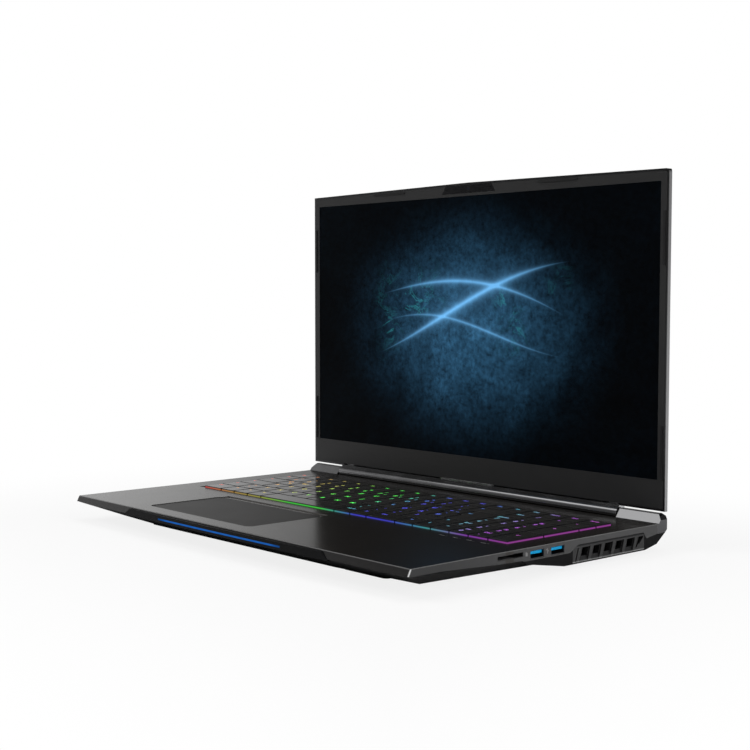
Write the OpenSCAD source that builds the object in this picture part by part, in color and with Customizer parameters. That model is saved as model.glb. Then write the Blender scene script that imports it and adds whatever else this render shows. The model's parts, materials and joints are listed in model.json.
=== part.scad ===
// Gaming notebook, 17.3 inch class, with its lid open at a right angle.
// Modules are drawn from the deck's front top edge: +X right, +Y back, +Z up from the deck.
// seat() moves them to the row's frame, whose origin is under the middle, on the table.

/* [Body] */
// Width of the computer
body_w = 395.8; // [394:0.1:400]
// Depth from the deck's front edge to the rear corners
body_d = 255.3; // [254.5:0.1:256]
// Depth from the deck's front edge to the rear port strip
rear_y = 258.3; // [258:0.1:259]
// How far the front band's foot stands out in front of the deck's edge
lip = 2.5; // [1.5:0.1:3]
// How far the insert in the middle of the front stands out
nose = 4.4; // [4:0.1:5]
// Height of the base between its underside and the deck
base_h = 17; // [17:0.1:18]
// Height of the rubber feet under the base
foot_h = 3; // [2:0.1:4]
// Wall thickness of the moulded shells
wall = 1.6; // [1.4:0.1:1.7]

/* [Lid] */
// Height of the hinge axis over the deck
hinge_z = 1.9; // [1.8:0.05:2]
// Distance of the hinge axis behind the deck's front edge
hinge_y = 251.8; // [251.7:0.05:251.9]
// Thickness of the lid
lid_t = 5.5; // [5.4:0.1:5.7]
// Height of the lid's top corners over the deck
lid_top = 253.7; // [253:0.1:254]
// Rise of the lid's top edge in its middle
lid_peak = 2.2; // [1.5:0.1:2.4]
// Radius of the hinge barrel
barrel_r = 5.15; // [5:0.05:5.25]

/* [Screen] */
// Width of the lit area of a 17.3 inch panel
screen_w = 381.9; // [375:0.1:383]
// Height of the lit area
screen_h = 214.8; // [210:0.1:215]
// Height of the lit area's lower edge over the deck
screen_z = 30.3; // [29.5:0.1:31]

/* [Keyboard] */
// Distance between the middles of two neighbouring keys
key_u = 18.4; // [18.2:0.05:18.4]
// Depth of a row of letter keys
row_u = 18.6; // [18.2:0.05:18.6]
// Depth of the function row
fn_row_u = 17.3; // [16:0.1:17.3]
// Height of the key tops over the deck
key_top = 1.4; // [1.2:0.05:1.4]
// Key travel
key_travel = 1.4; // [1:0.1:1.4]

/* [Touchpad] */
// Width of the touchpad
pad_w = 130; // [110:1:132]
// Depth of the touchpad
pad_d = 69; // [60:1:70]

/* [Hidden] */

deck_z = base_h + foot_h;
mid_y = (rear_y - nose) / 2;
half_w = body_w / 2;
round_fn = 48;

// Base shell
deck_t = 1.5;             // thickness of the deck plate
lip_z = -5;               // where the front band meets the black cover
edge_w = 0.4;             // bevel along the deck's edges
floor_z = -base_h;        // underside
front_flat_y = 23.3;      // where the flat underside begins
tail_y = 229;             // where the underside starts to rise
tail = [242.5, -14.2];    // bend in the rising underside
pod_foot_y = 141;         // where a side pod reaches the underside
pod_top = [105.5, -11.2]; // where a side pod grows out of the chamfer
band_y = 107;             // where the side band has its full height
band_z = -8.8;
vent_y0 = 155.6;          // upper edge of a side vent, front and rear end
vent_y1 = 227;
vent_lean = 8.5;          // how far the vent's front edge leans forward
vent_z = -4.2;
corner_y = 243.2;         // seam between the side band and the hinge corner
corner_z = -7;

// Hinge
cap_x = 159.2;            // inner end of a hinge cap
cap_wall = 1.4;
barrel_x = 158;           // half length of the barrel
trough_r = 6.4;           // the trough that the barrel turns in
shelf_z = hinge_z - trough_r;
shelf_base = shelf_z - 1.7;
pin_r = 1.5;
pin_gap = 0.05;           // running clearance round the pin
knuckle_r = 2.9;
bracket_x = [163, 176];

// Keyboard
keys_x = -170.6;          // left edge of the keys
keys_y = 105.7;           // front edge of the keys
guide_top = -2.7;
guide_t = 0.4;
plate_t = 0.6;
plate_z = guide_top - guide_t - plate_t;
cap_low = -1;             // lower edge of a key's skirt
cap_t = 0.9;              // thickness of a key's top
well = [[-177.4, 104.9], [179.9, 104.9], [179.9, 216.9], [-171.5, 216.9], [-171.5, 112]];

function ones(n) = [for (i = [1 : n]) 1];
function sum_to(v, n) = n <= 0 ? 0 : v[n - 1] + sum_to(v, n - 1);

// Key widths in units, from the left, front row first
key_rows = [
  [1.3, 1, 1, 1, 5, 1, 1, 1.7, 1, 1, 1, 1, 1],
  concat([1.25], ones(11), [1.75, 1, 1, 1, 1]),
  concat([1.75], ones(12), [1.25, 1, 1, 1]),
  concat([1.5], ones(12), [1.5, 1, 1, 1]),
  concat(ones(13), [2], ones(4)),
  ones(19)];

// Touchpad and power button
pad_at = [-115, 15];
pad_top = -0.3;
pad_t = 1.2;
pad_slope = [6.5, 0.75];  // run and depth of the ramp behind the touchpad
button_size = [27.6, 8.6];
button_y = 228.8;

// Lid
bezel_y = hinge_y - 0.3;
lid_back = bezel_y + lid_t;
lid_foot = 7.9;           // lower edge of the lid over the hinge caps
barrel_top = 8.5;         // and where the barrel's web meets it
skin = 1.2;               // thickness of the lid's back
rim_w = 1.6;
panel_y = bezel_y + 0.5;  // front face of the panel
panel_t = 2;
cam_z = 250.9;

// Ports: middle of each along Y
usb_y = [113.9, 134.4];
usb_w = 13.3;
usb_h = 5.7;
port_top = -2.2;
port_depth = 16;
sd_y = 88;
sd_w = 24.2;
sd_h = 3.05;
left_usb_y = 98;
net_y = 116;
net_w = 15.6;
net_h = 6.4;
jack_y = [64, 76];
jack_z = -4.1;
jack_r = 1.75;            // 3.5 mm plug
jack_collar_r = 2.6;
lock_y = 137;
rear_ports = [-24, 2, 30]; // USB-C, HDMI and power inlet along X
rear_port_z = -9.2;

// Cooling
fan_at = [112, 188.8];
fan_r = 36;
fan_size = 80;
fan_top = -5.8;
fan_floor = -15.3;
blades = 27;
board_z = -9.5;
board_t = 1.2;
pipe_z = -5.6;
pipe_t = 1.8;

screw_at = [[-150, 34], [150, 34], [-168, 130], [168, 130], [-163, 222], [163, 222], [0, 100.5], [0, 222]];

module seat() { translate([0, -mid_y, deck_z]) children(); }

// A side profile, given as Y and Z, drawn out along X
module along_x(x0, x1) {
  translate([x0, 0, 0]) rotate([90, 0, 90]) linear_extrude(x1 - x0) children();
}

// A front profile, given as X and Z, drawn out along Y
module along_y(y0, y1) {
  translate([0, y1, 0]) rotate([90, 0, 0]) linear_extrude(y1 - y0) children();
}

// A block between two opposite corners
module box(a, b) { translate(a) cube([b[0] - a[0], b[1] - a[1], b[2] - a[2]]); }

module rod_x(x0, x1, y, z, r) {
  translate([x0, y, z]) rotate([0, 90, 0]) cylinder(h = x1 - x0, r = r, $fn = round_fn);
}

module rod_y(y0, y1, x, z, r) {
  translate([x, y1, z]) rotate([90, 0, 0]) cylinder(h = y1 - y0, r = r, $fn = round_fn);
}

// Everything on the side of a plane that its normal points to
module half_space(point, normal, size = 900) {
  n = normal / norm(normal);
  translate(point) rotate([0, acos(n[2]), atan2(n[1], n[0])])
    translate([-size / 2, -size / 2, 0]) cube([size, size, size / 2]);
}

// The right-hand pieces and their mirror images on the left
module both_sides() {
  children();
  mirror([1, 0, 0]) children();
}

module rounded_square(w, d, r) {
  translate([r, 0]) square([w - 2 * r, d]);
  translate([0, r]) square([w, d - 2 * r]);
  for (x = [r, w - r]) for (y = [r, d - r]) translate([x, y]) circle(r = r, $fn = round_fn);
}

module rounded_plate(w, d, h, r) { linear_extrude(h) rounded_square(w, d, r); }

// ---- Base shell ----

// The base in side view, drawn in by t for its inner wall
function base_side(t) = [
  [t, 1], [t, 0], [2.2 * t - lip, lip_z], [front_flat_y + t, floor_z + t], [tail_y, floor_z + t],
  [tail[0] - t, tail[1] + t], [body_d - t, -4.9], [body_d - t, 1]];

// The pod that carries a side vent, in side view
function pod_side(t) = [
  [pod_top[0] - 6 + t, -1], [pod_top[0] - 6 + t, band_z + 1], [pod_top[0] + t, pod_top[1] + t],
  [pod_foot_y + t, floor_z + t], [tail_y, floor_z + t], [tail[0] - t, tail[1] + t],
  [body_d - t, -4.9], [body_d - t, -1]];

// The rear port strip, in side view
function strip_side(t) = [
  [tail_y - 4, -1], [tail_y - 4, floor_z + t], [tail_y, floor_z + t], [rear_y - t, -13.5 + t],
  [rear_y - t, -1]];

module base_solid(t = 0) {
  side_normal = -cross([0, band_y, -3.2], [-24.9, 0, floor_z - lip_z]);
  difference() {
    along_x(t - half_w, half_w - t) polygon(base_side(t));
    both_sides() half_space([half_w - 2.3 * t, 0, lip_z], side_normal);
    for (s = [-1, 1]) half_space([s * 100, front_flat_y, floor_z + 1.07 * t], [s * 6, -74, -196]);
    if (t == 0) {
      half_space([0, edge_w, 0], [0, -1, 1]);
      both_sides() {
        half_space([half_w - edge_w, 100, 0], [1, 0, 1]);
        half_space([half_w, 0.7, 0], [2, -2, 1]);
      }
    }
  }
  both_sides() along_x(150, half_w - t) polygon(pod_side(t));
  along_x(t - barrel_x, barrel_x - t) polygon(strip_side(t));
}

// All that lies above the seam between the two shells
module above_seam() {
  along_x(-half_w - 5, half_w + 5) polygon([
    [-10, 5], [-10, lip_z], [25, lip_z], [band_y - 4, band_z],
    [vent_y0 - vent_lean, band_z], [vent_y0, vent_z], [vent_y1, vent_z],
    [vent_y1 + 3.5, band_z], [corner_y, corner_z], [corner_y, shelf_base],
    [rear_y + 5, shelf_base], [rear_y + 5, 5]]);
}

// The dark insert in the middle of the front edge. Its face bows forward and leans out.
insert_x = 120;
insert_z = [-6, -0.9];
insert_bow = 1.5;
insert_lean = 0.7;
facets = 10;
function insert_y(x) = insert_lean - nose + insert_bow * pow(x / insert_x, 2);

module front_insert(grow = 0) difference() {
  box([-130, -6, insert_z[0] - grow], [130, 4 + grow, insert_z[1] + grow]);
  both_sides() half_space([116 + grow, 0, -1], [5, 0, 8]);
  for (i = [0 : facets - 1]) {
    x0 = (2 * i / facets - 1) * insert_x;
    x1 = x0 + 2 * insert_x / facets;
    half_space([x0, insert_y(x0) - grow, insert_z[1]],
      cross([0, -insert_lean, insert_z[0] - insert_z[1]], [x1 - x0, insert_y(x1) - insert_y(x0), 0]));
  }
}

module corner_block() {
  both_sides() box([cap_x, corner_y, corner_z], [half_w + 5, rear_y + 5, 9]);
}

module port_cuts() {
  x0 = half_w - 4;
  x1 = half_w + 4;
  for (y = usb_y) box([x0, y - usb_w / 2, port_top - usb_h], [x1, y + usb_w / 2, port_top]);
  box([x0, sd_y - sd_w / 2, port_top - sd_h], [x1, sd_y + sd_w / 2, port_top]);
  box([-x1, left_usb_y - usb_w / 2, port_top - usb_h], [-x0, left_usb_y + usb_w / 2, port_top]);
  box([-x1, net_y - net_w / 2, port_top - net_h], [-x0, net_y + net_w / 2, port_top]);
  for (y = jack_y) rod_x(-x1, -x0, y, jack_z, jack_collar_r);
  box([-x1, lock_y - 3.5, -6.6], [-x0, lock_y + 3.5, -3.6]);
}

// Air intake between the keyboard and the hinge: slots in shallow grooves
module deck_intake() {
  for (row = [0 : 4]) translate([0, 222.6 + row * 4.4, 0]) {
    box([-152, 0, -0.85], [152, 1.8, 1]);
    if (row > 0 && row < 4) for (i = [-7 : 6]) if (abs(i + 0.5) > 1)
      box([i * 20 + 2, 0.2, -3], [i * 20 + 18, 1.6, 1]);
  }
}

module hinge_trough() {
  difference() {
    along_x(-cap_x, cap_x) polygon([[244.2, 0], [244.2, shelf_base], [rear_y, shelf_base], [rear_y, 0]]);
    rod_x(-cap_x - 1, cap_x + 1, hinge_y, hinge_z, trough_r);
    box([-cap_x - 1, hinge_y, shelf_z], [cap_x + 1, rear_y + 1, 1]);
  }
}

module top_case() color("#3c3c3e") seat() {
  difference() {
    intersection() {
      base_solid();
      above_seam();
      half_space([0, 0, 0], [0, 0, -1]);
    }
    intersection() {
      base_solid(wall);
      half_space([0, 0, -deck_t], [0, 0, -1]);
    }
    box([-cap_x, 245, -12], [cap_x, rear_y + 5, 2]);
    corner_block();
    front_insert(0.1);
    translate([0, 0, -5]) linear_extrude(10) polygon(well);
    translate([pad_at[0] - 0.3, pad_at[1] - 0.3, -4]) rounded_plate(pad_w + 0.6, pad_d + 0.6, 8, 5.3);
    along_x(pad_at[0] + 2, pad_at[0] + pad_w - 2) polygon([
      [pad_at[1] + pad_d - 1, 1], [pad_at[1] + pad_d - 1, -0.2], [pad_at[1] + pad_d + pad_slope[0], -pad_slope[1]],
      [pad_at[1] + pad_d + pad_slope[0], 1]]);
    deck_intake();
    translate([-button_size[0] / 2 - 0.2, button_y - 0.2, -4])
      rounded_plate(button_size[0] + 0.4, button_size[1] + 0.4, 8, 2.2);
    port_cuts();
  }
  hinge_trough();
}

module bottom_cover() color("#1d1d1f") seat() {
  difference() {
    union() {
      difference() {
        base_solid();
        above_seam();
        base_solid(wall);
        corner_block();
      }
      front_insert();
      for (s = screw_at) translate([s[0], s[1], floor_z + 0.5]) cylinder(h = 6, r = 3.5, $fn = round_fn);
    }
    box([-150, 255, -12.2], [150, rear_y + 5, 2]);
    box([-bar_x - 0.1, -6, bar_z[0] - 0.05], [bar_x + 0.1, 1.2, bar_z[1] + 0.05]);
    both_sides() box([193.3, 149.9, -16.3], [half_w + 5, 228.1, 2]);
    // slots under the two rotors
    both_sides() translate([fan_at[0], fan_at[1], floor_z - 1]) for (i = [-4 : 4]) {
      reach = 0.85 * sqrt(pow(fan_r, 2) - pow(i * 8, 2));
      translate([i * 8 - 1.6, -reach, 0]) cube([3.2, 2 * reach, 5]);
    }
    // slots under the loudspeakers
    both_sides() for (i = [0 : 5]) box([127 + i * 5, 44, floor_z - 1], [129 + i * 5, 60, floor_z + 4]);
    for (s = screw_at) translate([s[0], s[1], floor_z - 1]) {
      cylinder(h = 10, r = 1.5, $fn = round_fn);
      cylinder(h = 2.6, r = 2.9, $fn = round_fn);
    }
  }
}

module bottom_screws() color("silver") seat()
  for (s = screw_at) translate([s[0], s[1], floor_z]) difference() {
    union() {
      translate([0, 0, 0.15]) cylinder(h = 1.4, r = 2.7, $fn = round_fn);
      translate([0, 0, 1]) cylinder(h = 5, r = 1.35, $fn = round_fn);
    }
    translate([0, 0, -1]) cylinder(h = 2.2, r = 1.2, $fn = 6);
  }

module foot(w, d) {
  end_r = d / 2;
  linear_extrude(foot_h + 0.6) {
    square([w - d, d], center = true);
    for (x = [end_r - w / 2, w / 2 - end_r]) translate([x, 0]) circle(r = end_r, $fn = round_fn);
  }
}

module rubber_feet() color("#151515") seat()
  difference() {
    union() {
      both_sides() translate([118, 37, floor_z - foot_h]) foot(44, 8);
      translate([0, 224.9, floor_z - foot_h]) foot(250, 7);
    }
    // the feet stand in front of the screws and keep the underside's face
    box([-half_w, 0, floor_z], [half_w, body_d, 0]);
  }

// The front light's lens, a little inside the insert's face
bar_x = 74.3;
bar_z = [-4.3, -3.1];

module light_bar() color("#2a62d8") seat() intersection() {
  translate([0, 0.15, 0]) front_insert();
  box([-bar_x, -6, bar_z[0]], [bar_x, 1.1, bar_z[1]]);
}

// ---- Hinge corners ----

// A hinge cap with its rear corner, in side view
cap_side = [[corner_y, corner_z], [corner_y, 0], [245.3, 0], [249.7, 6], [250.5, 6.5], [253.6, 6.5],
            [257.8, 3], [257.8, -2], [252.4, corner_z]];
// the room inside it
cap_room = [[corner_y - 1, corner_z - 1], [corner_y - 1, -deck_t - 0.1], [244.8, -deck_t - 0.1],
            [250.6, 5.1], [253, 5.1], [256.4, 2.4], [256.4, -1.5], [250.5, corner_z - 1]];

module hinge_cap() difference() {
  along_x(cap_x, half_w) polygon(cap_side);
  along_x(cap_x + cap_wall, half_w - 6) polygon(cap_room);
  rod_x(cap_x - 1, cap_x + 4, hinge_y, hinge_z, pin_r + 0.6);
  // outer end: bevels at the top and at the rear corner
  half_space([half_w - 4, 250, 6.5], [4.2, 0, 4]);
  half_space([half_w, 254.7, 0], [3.1, 5, 0]);
}

module hinge_cap_right() color("#5a5a5c") seat() hinge_cap();
module hinge_cap_left() color("#5a5a5c") seat() mirror([1, 0, 0]) hinge_cap();

// The half of each hinge that is screwed to the base
module hinge_brackets() color("silver") seat() both_sides() difference() {
  union() {
    rod_x(bracket_x[0], bracket_x[1], hinge_y, hinge_z, knuckle_r);
    box([bracket_x[0], 247.3, -6.2], [bracket_x[1], 250, 1.2]);
    box([bracket_x[0], 226, -6.2], [bracket_x[1], 250, -5]);
  }
  rod_x(bracket_x[0] - 1, bracket_x[1] + 1, hinge_y, hinge_z, pin_r + pin_gap);
  for (y = [230, 238]) translate([(bracket_x[0] + bracket_x[1]) / 2, y, -8])
    cylinder(h = 5, r = 1.6, $fn = round_fn);
}

// ---- Grilles ----

louvre_pitch = 12.22;
louvre_y = 156.6;         // front edge of the first fin, at its top
louvre_w = 2.9;
louvre_lean = 0.3;        // how far a fin leans forward for each millimetre down
face_depth = 1.5;         // the face between the fins lies this far in

// A slanted bar or window in side view, from z1 down to z0; y0 and y1 are its edges at the fins' top
function leaning(y0, y1, z0, z1) = let (top = -5.9) [
  [y0 + (z1 - top) * louvre_lean, z1], [y1 + (z1 - top) * louvre_lean, z1],
  [y1 + (z0 - top) * louvre_lean, z0], [y0 + (z0 - top) * louvre_lean, z0]];

// A side vent: a bevelled frame, a recessed face with a window behind each gap, a sill that
// slopes out to a bright ledge, and six leaning fins
module vent_louvres() {
  front_x = half_w - 0.1;
  face_x = half_w - face_depth;
  difference() {
    along_x(193.4, front_x) polygon([
      [150, -16.2], [150, -7.4], [155.65, vent_z - 0.1], [vent_y1, vent_z - 0.1],
      [228, -5.7], [228, -16.2]]);
    half_space([front_x, 190, -5.6], [1.4, 0, 1]);
    intersection() {
      along_y(140, 240) polygon([
        [face_x, -6.4], [half_w + 1, -6.4], [half_w + 1, -16.2], [front_x, -16.1],
        [front_x - 0.9, -15.2], [face_x, -12.9]]);
      along_x(face_x - 1, half_w + 2) polygon([[155.3, -6], [227.6, -6], [215.5, -17], [152, -17]]);
    }
    for (i = [0 : 5]) along_x(190, half_w + 1) polygon(i < 5
      ? leaning(louvre_y + i * louvre_pitch + 5.6, louvre_y + i * louvre_pitch + 12, -12.7, -7.1)
      : [[223.7, -7.1], [227.1, -7.1], [221.4, -12.7]]);
  }
  for (i = [0 : 5]) intersection() {
    along_x(face_x - 0.4, front_x)
      polygon(leaning(louvre_y + i * louvre_pitch, louvre_y + i * louvre_pitch + louvre_w, -16.1, -5.9));
    half_space([front_x, 190, -6.2], [-1.4, 0, -1]);
  }
}

module vent_louvres_right() color("#2b2b2d") seat() vent_louvres();
module vent_louvres_left() color("#2b2b2d") seat() mirror([1, 0, 0]) vent_louvres();

// Rear strip: two exhaust grilles with the ports between them
module rear_grille() color("#2b2b2d") seat() difference() {
  z0 = -12.15;
  z1 = shelf_base - 0.05;
  box([-149.9, 255.1, z0], [149.9, rear_y, z1]);
  box([-148.4, 250, z0 + 1.4], [-60, rear_y - 1.4, z1 - 0.7]);
  box([60, 250, z0 + 1.4], [148.4, rear_y - 1.4, z1 - 0.7]);
  both_sides() for (i = [0 : 16]) along_y(250, rear_y + 1) polygon([
    [63 + i * 5, z0 + 1.4], [66.2 + i * 5, z0 + 1.4], [67.4 + i * 5, z1 - 0.7], [64.2 + i * 5, z1 - 0.7]]);
  box([rear_ports[0] - 4.6, 250, rear_port_z - 1.8], [rear_ports[0] + 4.6, rear_y + 1, rear_port_z + 1.8]);
  box([rear_ports[1] - 7.6, 250, rear_port_z - 2.7], [rear_ports[1] + 7.6, rear_y + 1, rear_port_z + 2.7]);
  rod_y(250, rear_y + 1, rear_ports[2], rear_port_z, 2.75);
}

// ---- Keyboard ----

module keyboard_plate() color("#505054") seat() difference() {
  box([-181, 101.5, plate_z], [181.4, 220, -deck_t]);
  translate([0, 0, guide_top - guide_t]) linear_extrude(5) polygon(well);
}

module light_guide() color("#9a30c8") seat()
  translate([0, 0, guide_top - guide_t]) linear_extrude(guide_t) polygon(well);

// One key: walls that lean in, round corners and a hollow underside
module key_cap(x, y, w, d) {
  foot_gap = 0.35;
  top_gap = 0.7;
  translate([x, y, 0]) difference() {
    intersection() {
      along_x(0, w) polygon([[foot_gap, cap_low], [d - foot_gap, cap_low], [d - top_gap, key_top], [top_gap, key_top]]);
      along_y(0, d) polygon([[foot_gap, cap_low], [w - foot_gap, cap_low], [w - top_gap, key_top], [top_gap, key_top]]);
      translate([foot_gap, foot_gap, cap_low]) rounded_plate(w - 2 * foot_gap, d - 2 * foot_gap, 5, 1.3);
    }
    box([1.7, 1.7, cap_low - 1], [w - 1.7, d - 1.7, key_top - cap_t]);
  }
}

function key_x(row, i) = keys_x + key_u * sum_to(key_rows[row], i);
function key_w(row, i) = key_rows[row][i] * key_u;
function row_y(row) = keys_y + row * row_u;
function row_d(row) = row < 5 ? row_u : fn_row_u;

module keys(row, first, last) for (i = [first : last])
  key_cap(key_x(row, i), row_y(row), key_w(row, i), row_d(row));

module escape_key() color("#242426") seat() keys(5, 0, 0);
module function_keys() color("#242426") seat() keys(5, 1, 18);
module number_keys() color("#242426") seat() keys(4, 0, 12);
module backspace_key() color("#242426") seat() keys(4, 13, 13);
module upper_letter_keys() color("#242426") seat() keys(3, 0, 12);
module home_letter_keys() color("#242426") seat() keys(2, 0, 12);
module lower_letter_keys() color("#242426") seat() keys(1, 1, 11);
module left_shift_key() color("#242426") seat() keys(1, 0, 0);
module right_shift_key() color("#242426") seat() keys(1, 12, 12);
module space_bar() color("#242426") seat() keys(0, 4, 4);

module modifier_keys() color("#242426") seat() {
  keys(0, 0, 3);
  keys(0, 5, 7);
}

module arrow_keys() color("#242426") seat() {
  keys(0, 8, 10);
  keys(1, 13, 13);
}

module numpad_keys() color("#242426") seat() {
  keys(0, 11, 12);
  keys(1, 14, 16);
  keys(2, 14, 16);
  keys(3, 14, 16);
  keys(4, 14, 17);
}

module numpad_plus_key() color("#242426") seat()
  key_cap(keys_x + 18 * key_u, row_y(2), key_u, 2 * row_u);

module numpad_enter_key() color("#242426") seat()
  key_cap(keys_x + 18 * key_u, row_y(0), key_u, 2 * row_u);

// The L-shaped key reaches over two rows
module enter_key() color("#242426") seat() {
  key_cap(key_x(2, 13), row_y(2), key_w(2, 13), 2 * row_u);
  difference() {
    key_cap(key_x(3, 13), row_y(3), key_w(3, 13), row_u);
    box([key_x(2, 13) + 1.7, row_y(3) - 1, cap_low - 1], [key_x(2, 13) + 9, row_y(4) - 1.7, key_top - cap_t]);
  }
}

// A folded scissor frame and a rubber dome under each key
module key_mechanism(x, y) translate([x, y, guide_top]) {
  linear_extrude(0.8) difference() {
    square([12, 9.6], center = true);
    square([9.6, 7.2], center = true);
  }
  cylinder(h = 1.4, r1 = 2.8, r2 = 1.8, $fn = 24);
}

module key_mechanisms() color("#d8d8d8") seat() {
  for (row = [0 : 5]) for (i = [0 : len(key_rows[row]) - 1]) if (!(row == 2 && i == 13))
    key_mechanism(key_x(row, i) + key_w(row, i) / 2, row_y(row) + row_d(row) / 2);
  for (row = [0, 2]) key_mechanism(keys_x + 18.5 * key_u, row_y(row) + row_u);
}

module touchpad() color("#29292b") seat()
  translate([pad_at[0], pad_at[1], pad_top - pad_t]) rounded_plate(pad_w, pad_d, pad_t, 5);

module power_button() color("#2e2e30") seat() {
  translate([-button_size[0] / 2, button_y, -deck_t - 0.2]) rounded_plate(button_size[0], button_size[1], deck_t + 0.3, 2);
  translate([-button_size[0] / 2 - 1, button_y - 1, -deck_t - 0.8])
    rounded_plate(button_size[0] + 2, button_size[1] + 2, 0.7, 2);
}

// ---- Boards and cooling ----

board_outline = [[-181, 104], [176, 104], [176, 107], [188, 107], [188, 141], [70, 141], [70, 226],
                 [-70, 226], [-70, 141], [-181, 141]];

module mainboard() color("#14452c") seat() difference() {
  union() {
    translate([0, 0, board_z]) linear_extrude(board_t) polygon(board_outline);
    // the two chips, their voltage regulators and the memory sockets
    translate([0, 0, board_z + board_t]) {
      box([-46, 160, 0], [-14, 190, 1.2]);
      box([16, 158, 0], [54, 194, 1.2]);
      for (i = [0 : 6]) box([-52 + i * 15, 197, 0], [-43 + i * 15, 204, 2.6]);
      for (i = [0 : 3]) box([57, 160 + i * 9, 0], [64, 167 + i * 9, 2.6]);
      for (y = [106.5, 136]) box([-66, y, 0], [6, y + 3.5, 3.4]);
    }
  }
  translate([0, 100.5, -20]) cylinder(h = 30, r = 4.2, $fn = round_fn);
  translate([0, 222, -20]) cylinder(h = 30, r = 4.2, $fn = round_fn);
  both_sides() translate([168, 130, -20]) cylinder(h = 30, r = 4.2, $fn = round_fn);
}

// Two modules stacked flat between their sockets
module memory_modules() color("#1c6b3c") seat() for (k = [0, 1])
  translate([-64, 110.3, board_z + board_t + 0.6 + k * 1.6]) {
    cube([67.6, 25.5, 0.8]);
    for (i = [0 : 3]) translate([5 + i * 15.5, 6, 0.8]) cube([11, 12, k == 0 ? 0.7 : 1]);
  }

module ssd_modules() color("#1b3a5e") seat() for (x = [20, 60]) translate([x, 108, board_z + board_t]) {
  cube([22, 30, 1]);
  translate([3, 4, 1]) cube([16, 20, 1.2]);
}

module wireless_card() color("#2d6f7c") seat() translate([100, 108, board_z + board_t]) {
  cube([22, 30, 1]);
  translate([3, 5, 1]) cube([16, 17, 1.4]);
}

module battery() color("#101012") seat() difference() {
  translate([-108, 26, floor_z + wall + 0.2]) rounded_plate(200, 68, 8.2, 3);
  for (i = [1 : 3]) box([-108 + i * 50 - 1, 30, -7.6], [-108 + i * 50 + 1, 86, -5]);
  box([-104, 88.5, -7.8], [88, 90, -5]);
}

module speakers() color("#222226") seat() both_sides() difference() {
  translate([122, 40, floor_z + wall + 0.2]) rounded_plate(42, 26, 7, 3);
  translate([143, 53, floor_z + wall - 1]) cylinder(h = 3.2, r = 8.5, $fn = round_fn);
}

// Housing of one blower: rotor room, inlets in both faces and an outlet to the rear and the side
module fan_housing() translate([fan_at[0], fan_at[1], fan_floor]) {
  h = fan_top - fan_floor;
  difference() {
    translate([-fan_size / 2, -fan_size / 2, 0]) rounded_plate(fan_size, fan_size, h, 6);
    translate([0, 0, 0.8]) cylinder(h = h - 1.6, r = fan_r + 1.5, $fn = round_fn);
    translate([0, 0, -1]) cylinder(h = h + 2, r = 27, $fn = round_fn);
    translate([-32, 0, 0.8]) cube([64, 60, h - 1.6]);
    translate([0, -26, 0.8]) cube([60, 52, h - 1.6]);
  }
  // motor seat on three arms, with the rotor's shaft
  difference() {
    union() {
      cylinder(h = 0.8, r = 14, $fn = round_fn);
      for (a = [30, 150, 270]) rotate(a) translate([10, -2, 0]) cube([19, 4, 0.8]);
    }
    translate([0, 0, -1]) cylinder(h = 3, r = 1, $fn = round_fn);
  }
  cylinder(h = 7.6, r = 1.5, $fn = round_fn);
}

module fan_housings() color("#2a2a2c") seat() both_sides() fan_housing();

// A rotor: hub, ring and curved blades
module fan_rotor() translate([fan_at[0], fan_at[1], fan_floor + 1.5]) difference() {
  union() {
    cylinder(h = 6.2, r = 13.5, $fn = round_fn);
    for (i = [0 : blades - 1]) rotate(i * 360 / blades) linear_extrude(6) polygon([
      [12.5, -0.4], [24, 1.2], [fan_r - 0.5, 6.2], [fan_r - 0.8, 6.9], [23.8, 2], [12.5, 0.4]]);
  }
  translate([0, 0, -1]) cylinder(h = 10, r = 1.5 + pin_gap, $fn = round_fn);
}

module fan_rotor_right() color("#161618") seat() fan_rotor();
module fan_rotor_left() color("#161618") seat() mirror([1, 0, 0]) fan_rotor();

// Fins between two thin plates, seen from the end that the air leaves by
module fin_block(w, h, n) {
  fin_t = 0.5;
  square([w, 0.5]);
  translate([0, h - 0.5]) square([w, 0.5]);
  for (i = [0 : n - 1]) translate([i * (w - fin_t) / (n - 1), 0]) square([fin_t, h]);
}

module fin_stacks() color("#b87a4a") seat() both_sides() {
  translate([0, 0, -13.2]) along_y(231, 243.8) translate([78, 0]) fin_block(68, 13.2 + pipe_z, 25);
  along_x(176, 189.5) translate([158, -14.8]) fin_block(64, 14.8 + pipe_z, 23);
}

module heat_spreader() color("#b87333") seat() translate([0, 0, board_z + board_t + 1.2]) {
  top = pipe_z - (board_z + board_t + 1.2);
  translate([-50, 156, 0]) rounded_plate(40, 38, top, 2);
  translate([12, 154, 0]) rounded_plate(44, 42, top, 2);
}

// A flattened heat pipe: straight, a quarter bend, straight again
module flat_pipe(start, bend_r, corner, end, w) linear_extrude(pipe_t) {
  translate([start[0] - w / 2, start[1]]) square([w, corner[1] - bend_r - start[1]]);
  translate([corner[0] + bend_r, corner[1] - w / 2]) square([end - corner[0] - bend_r, w]);
  translate([corner[0] + bend_r, corner[1] - bend_r]) intersection() {
    difference() {
      circle(r = bend_r + w / 2, $fn = round_fn);
      circle(r = bend_r - w / 2, $fn = round_fn);
    }
    translate([-bend_r - w, 0]) square(bend_r + w);
  }
}

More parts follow.
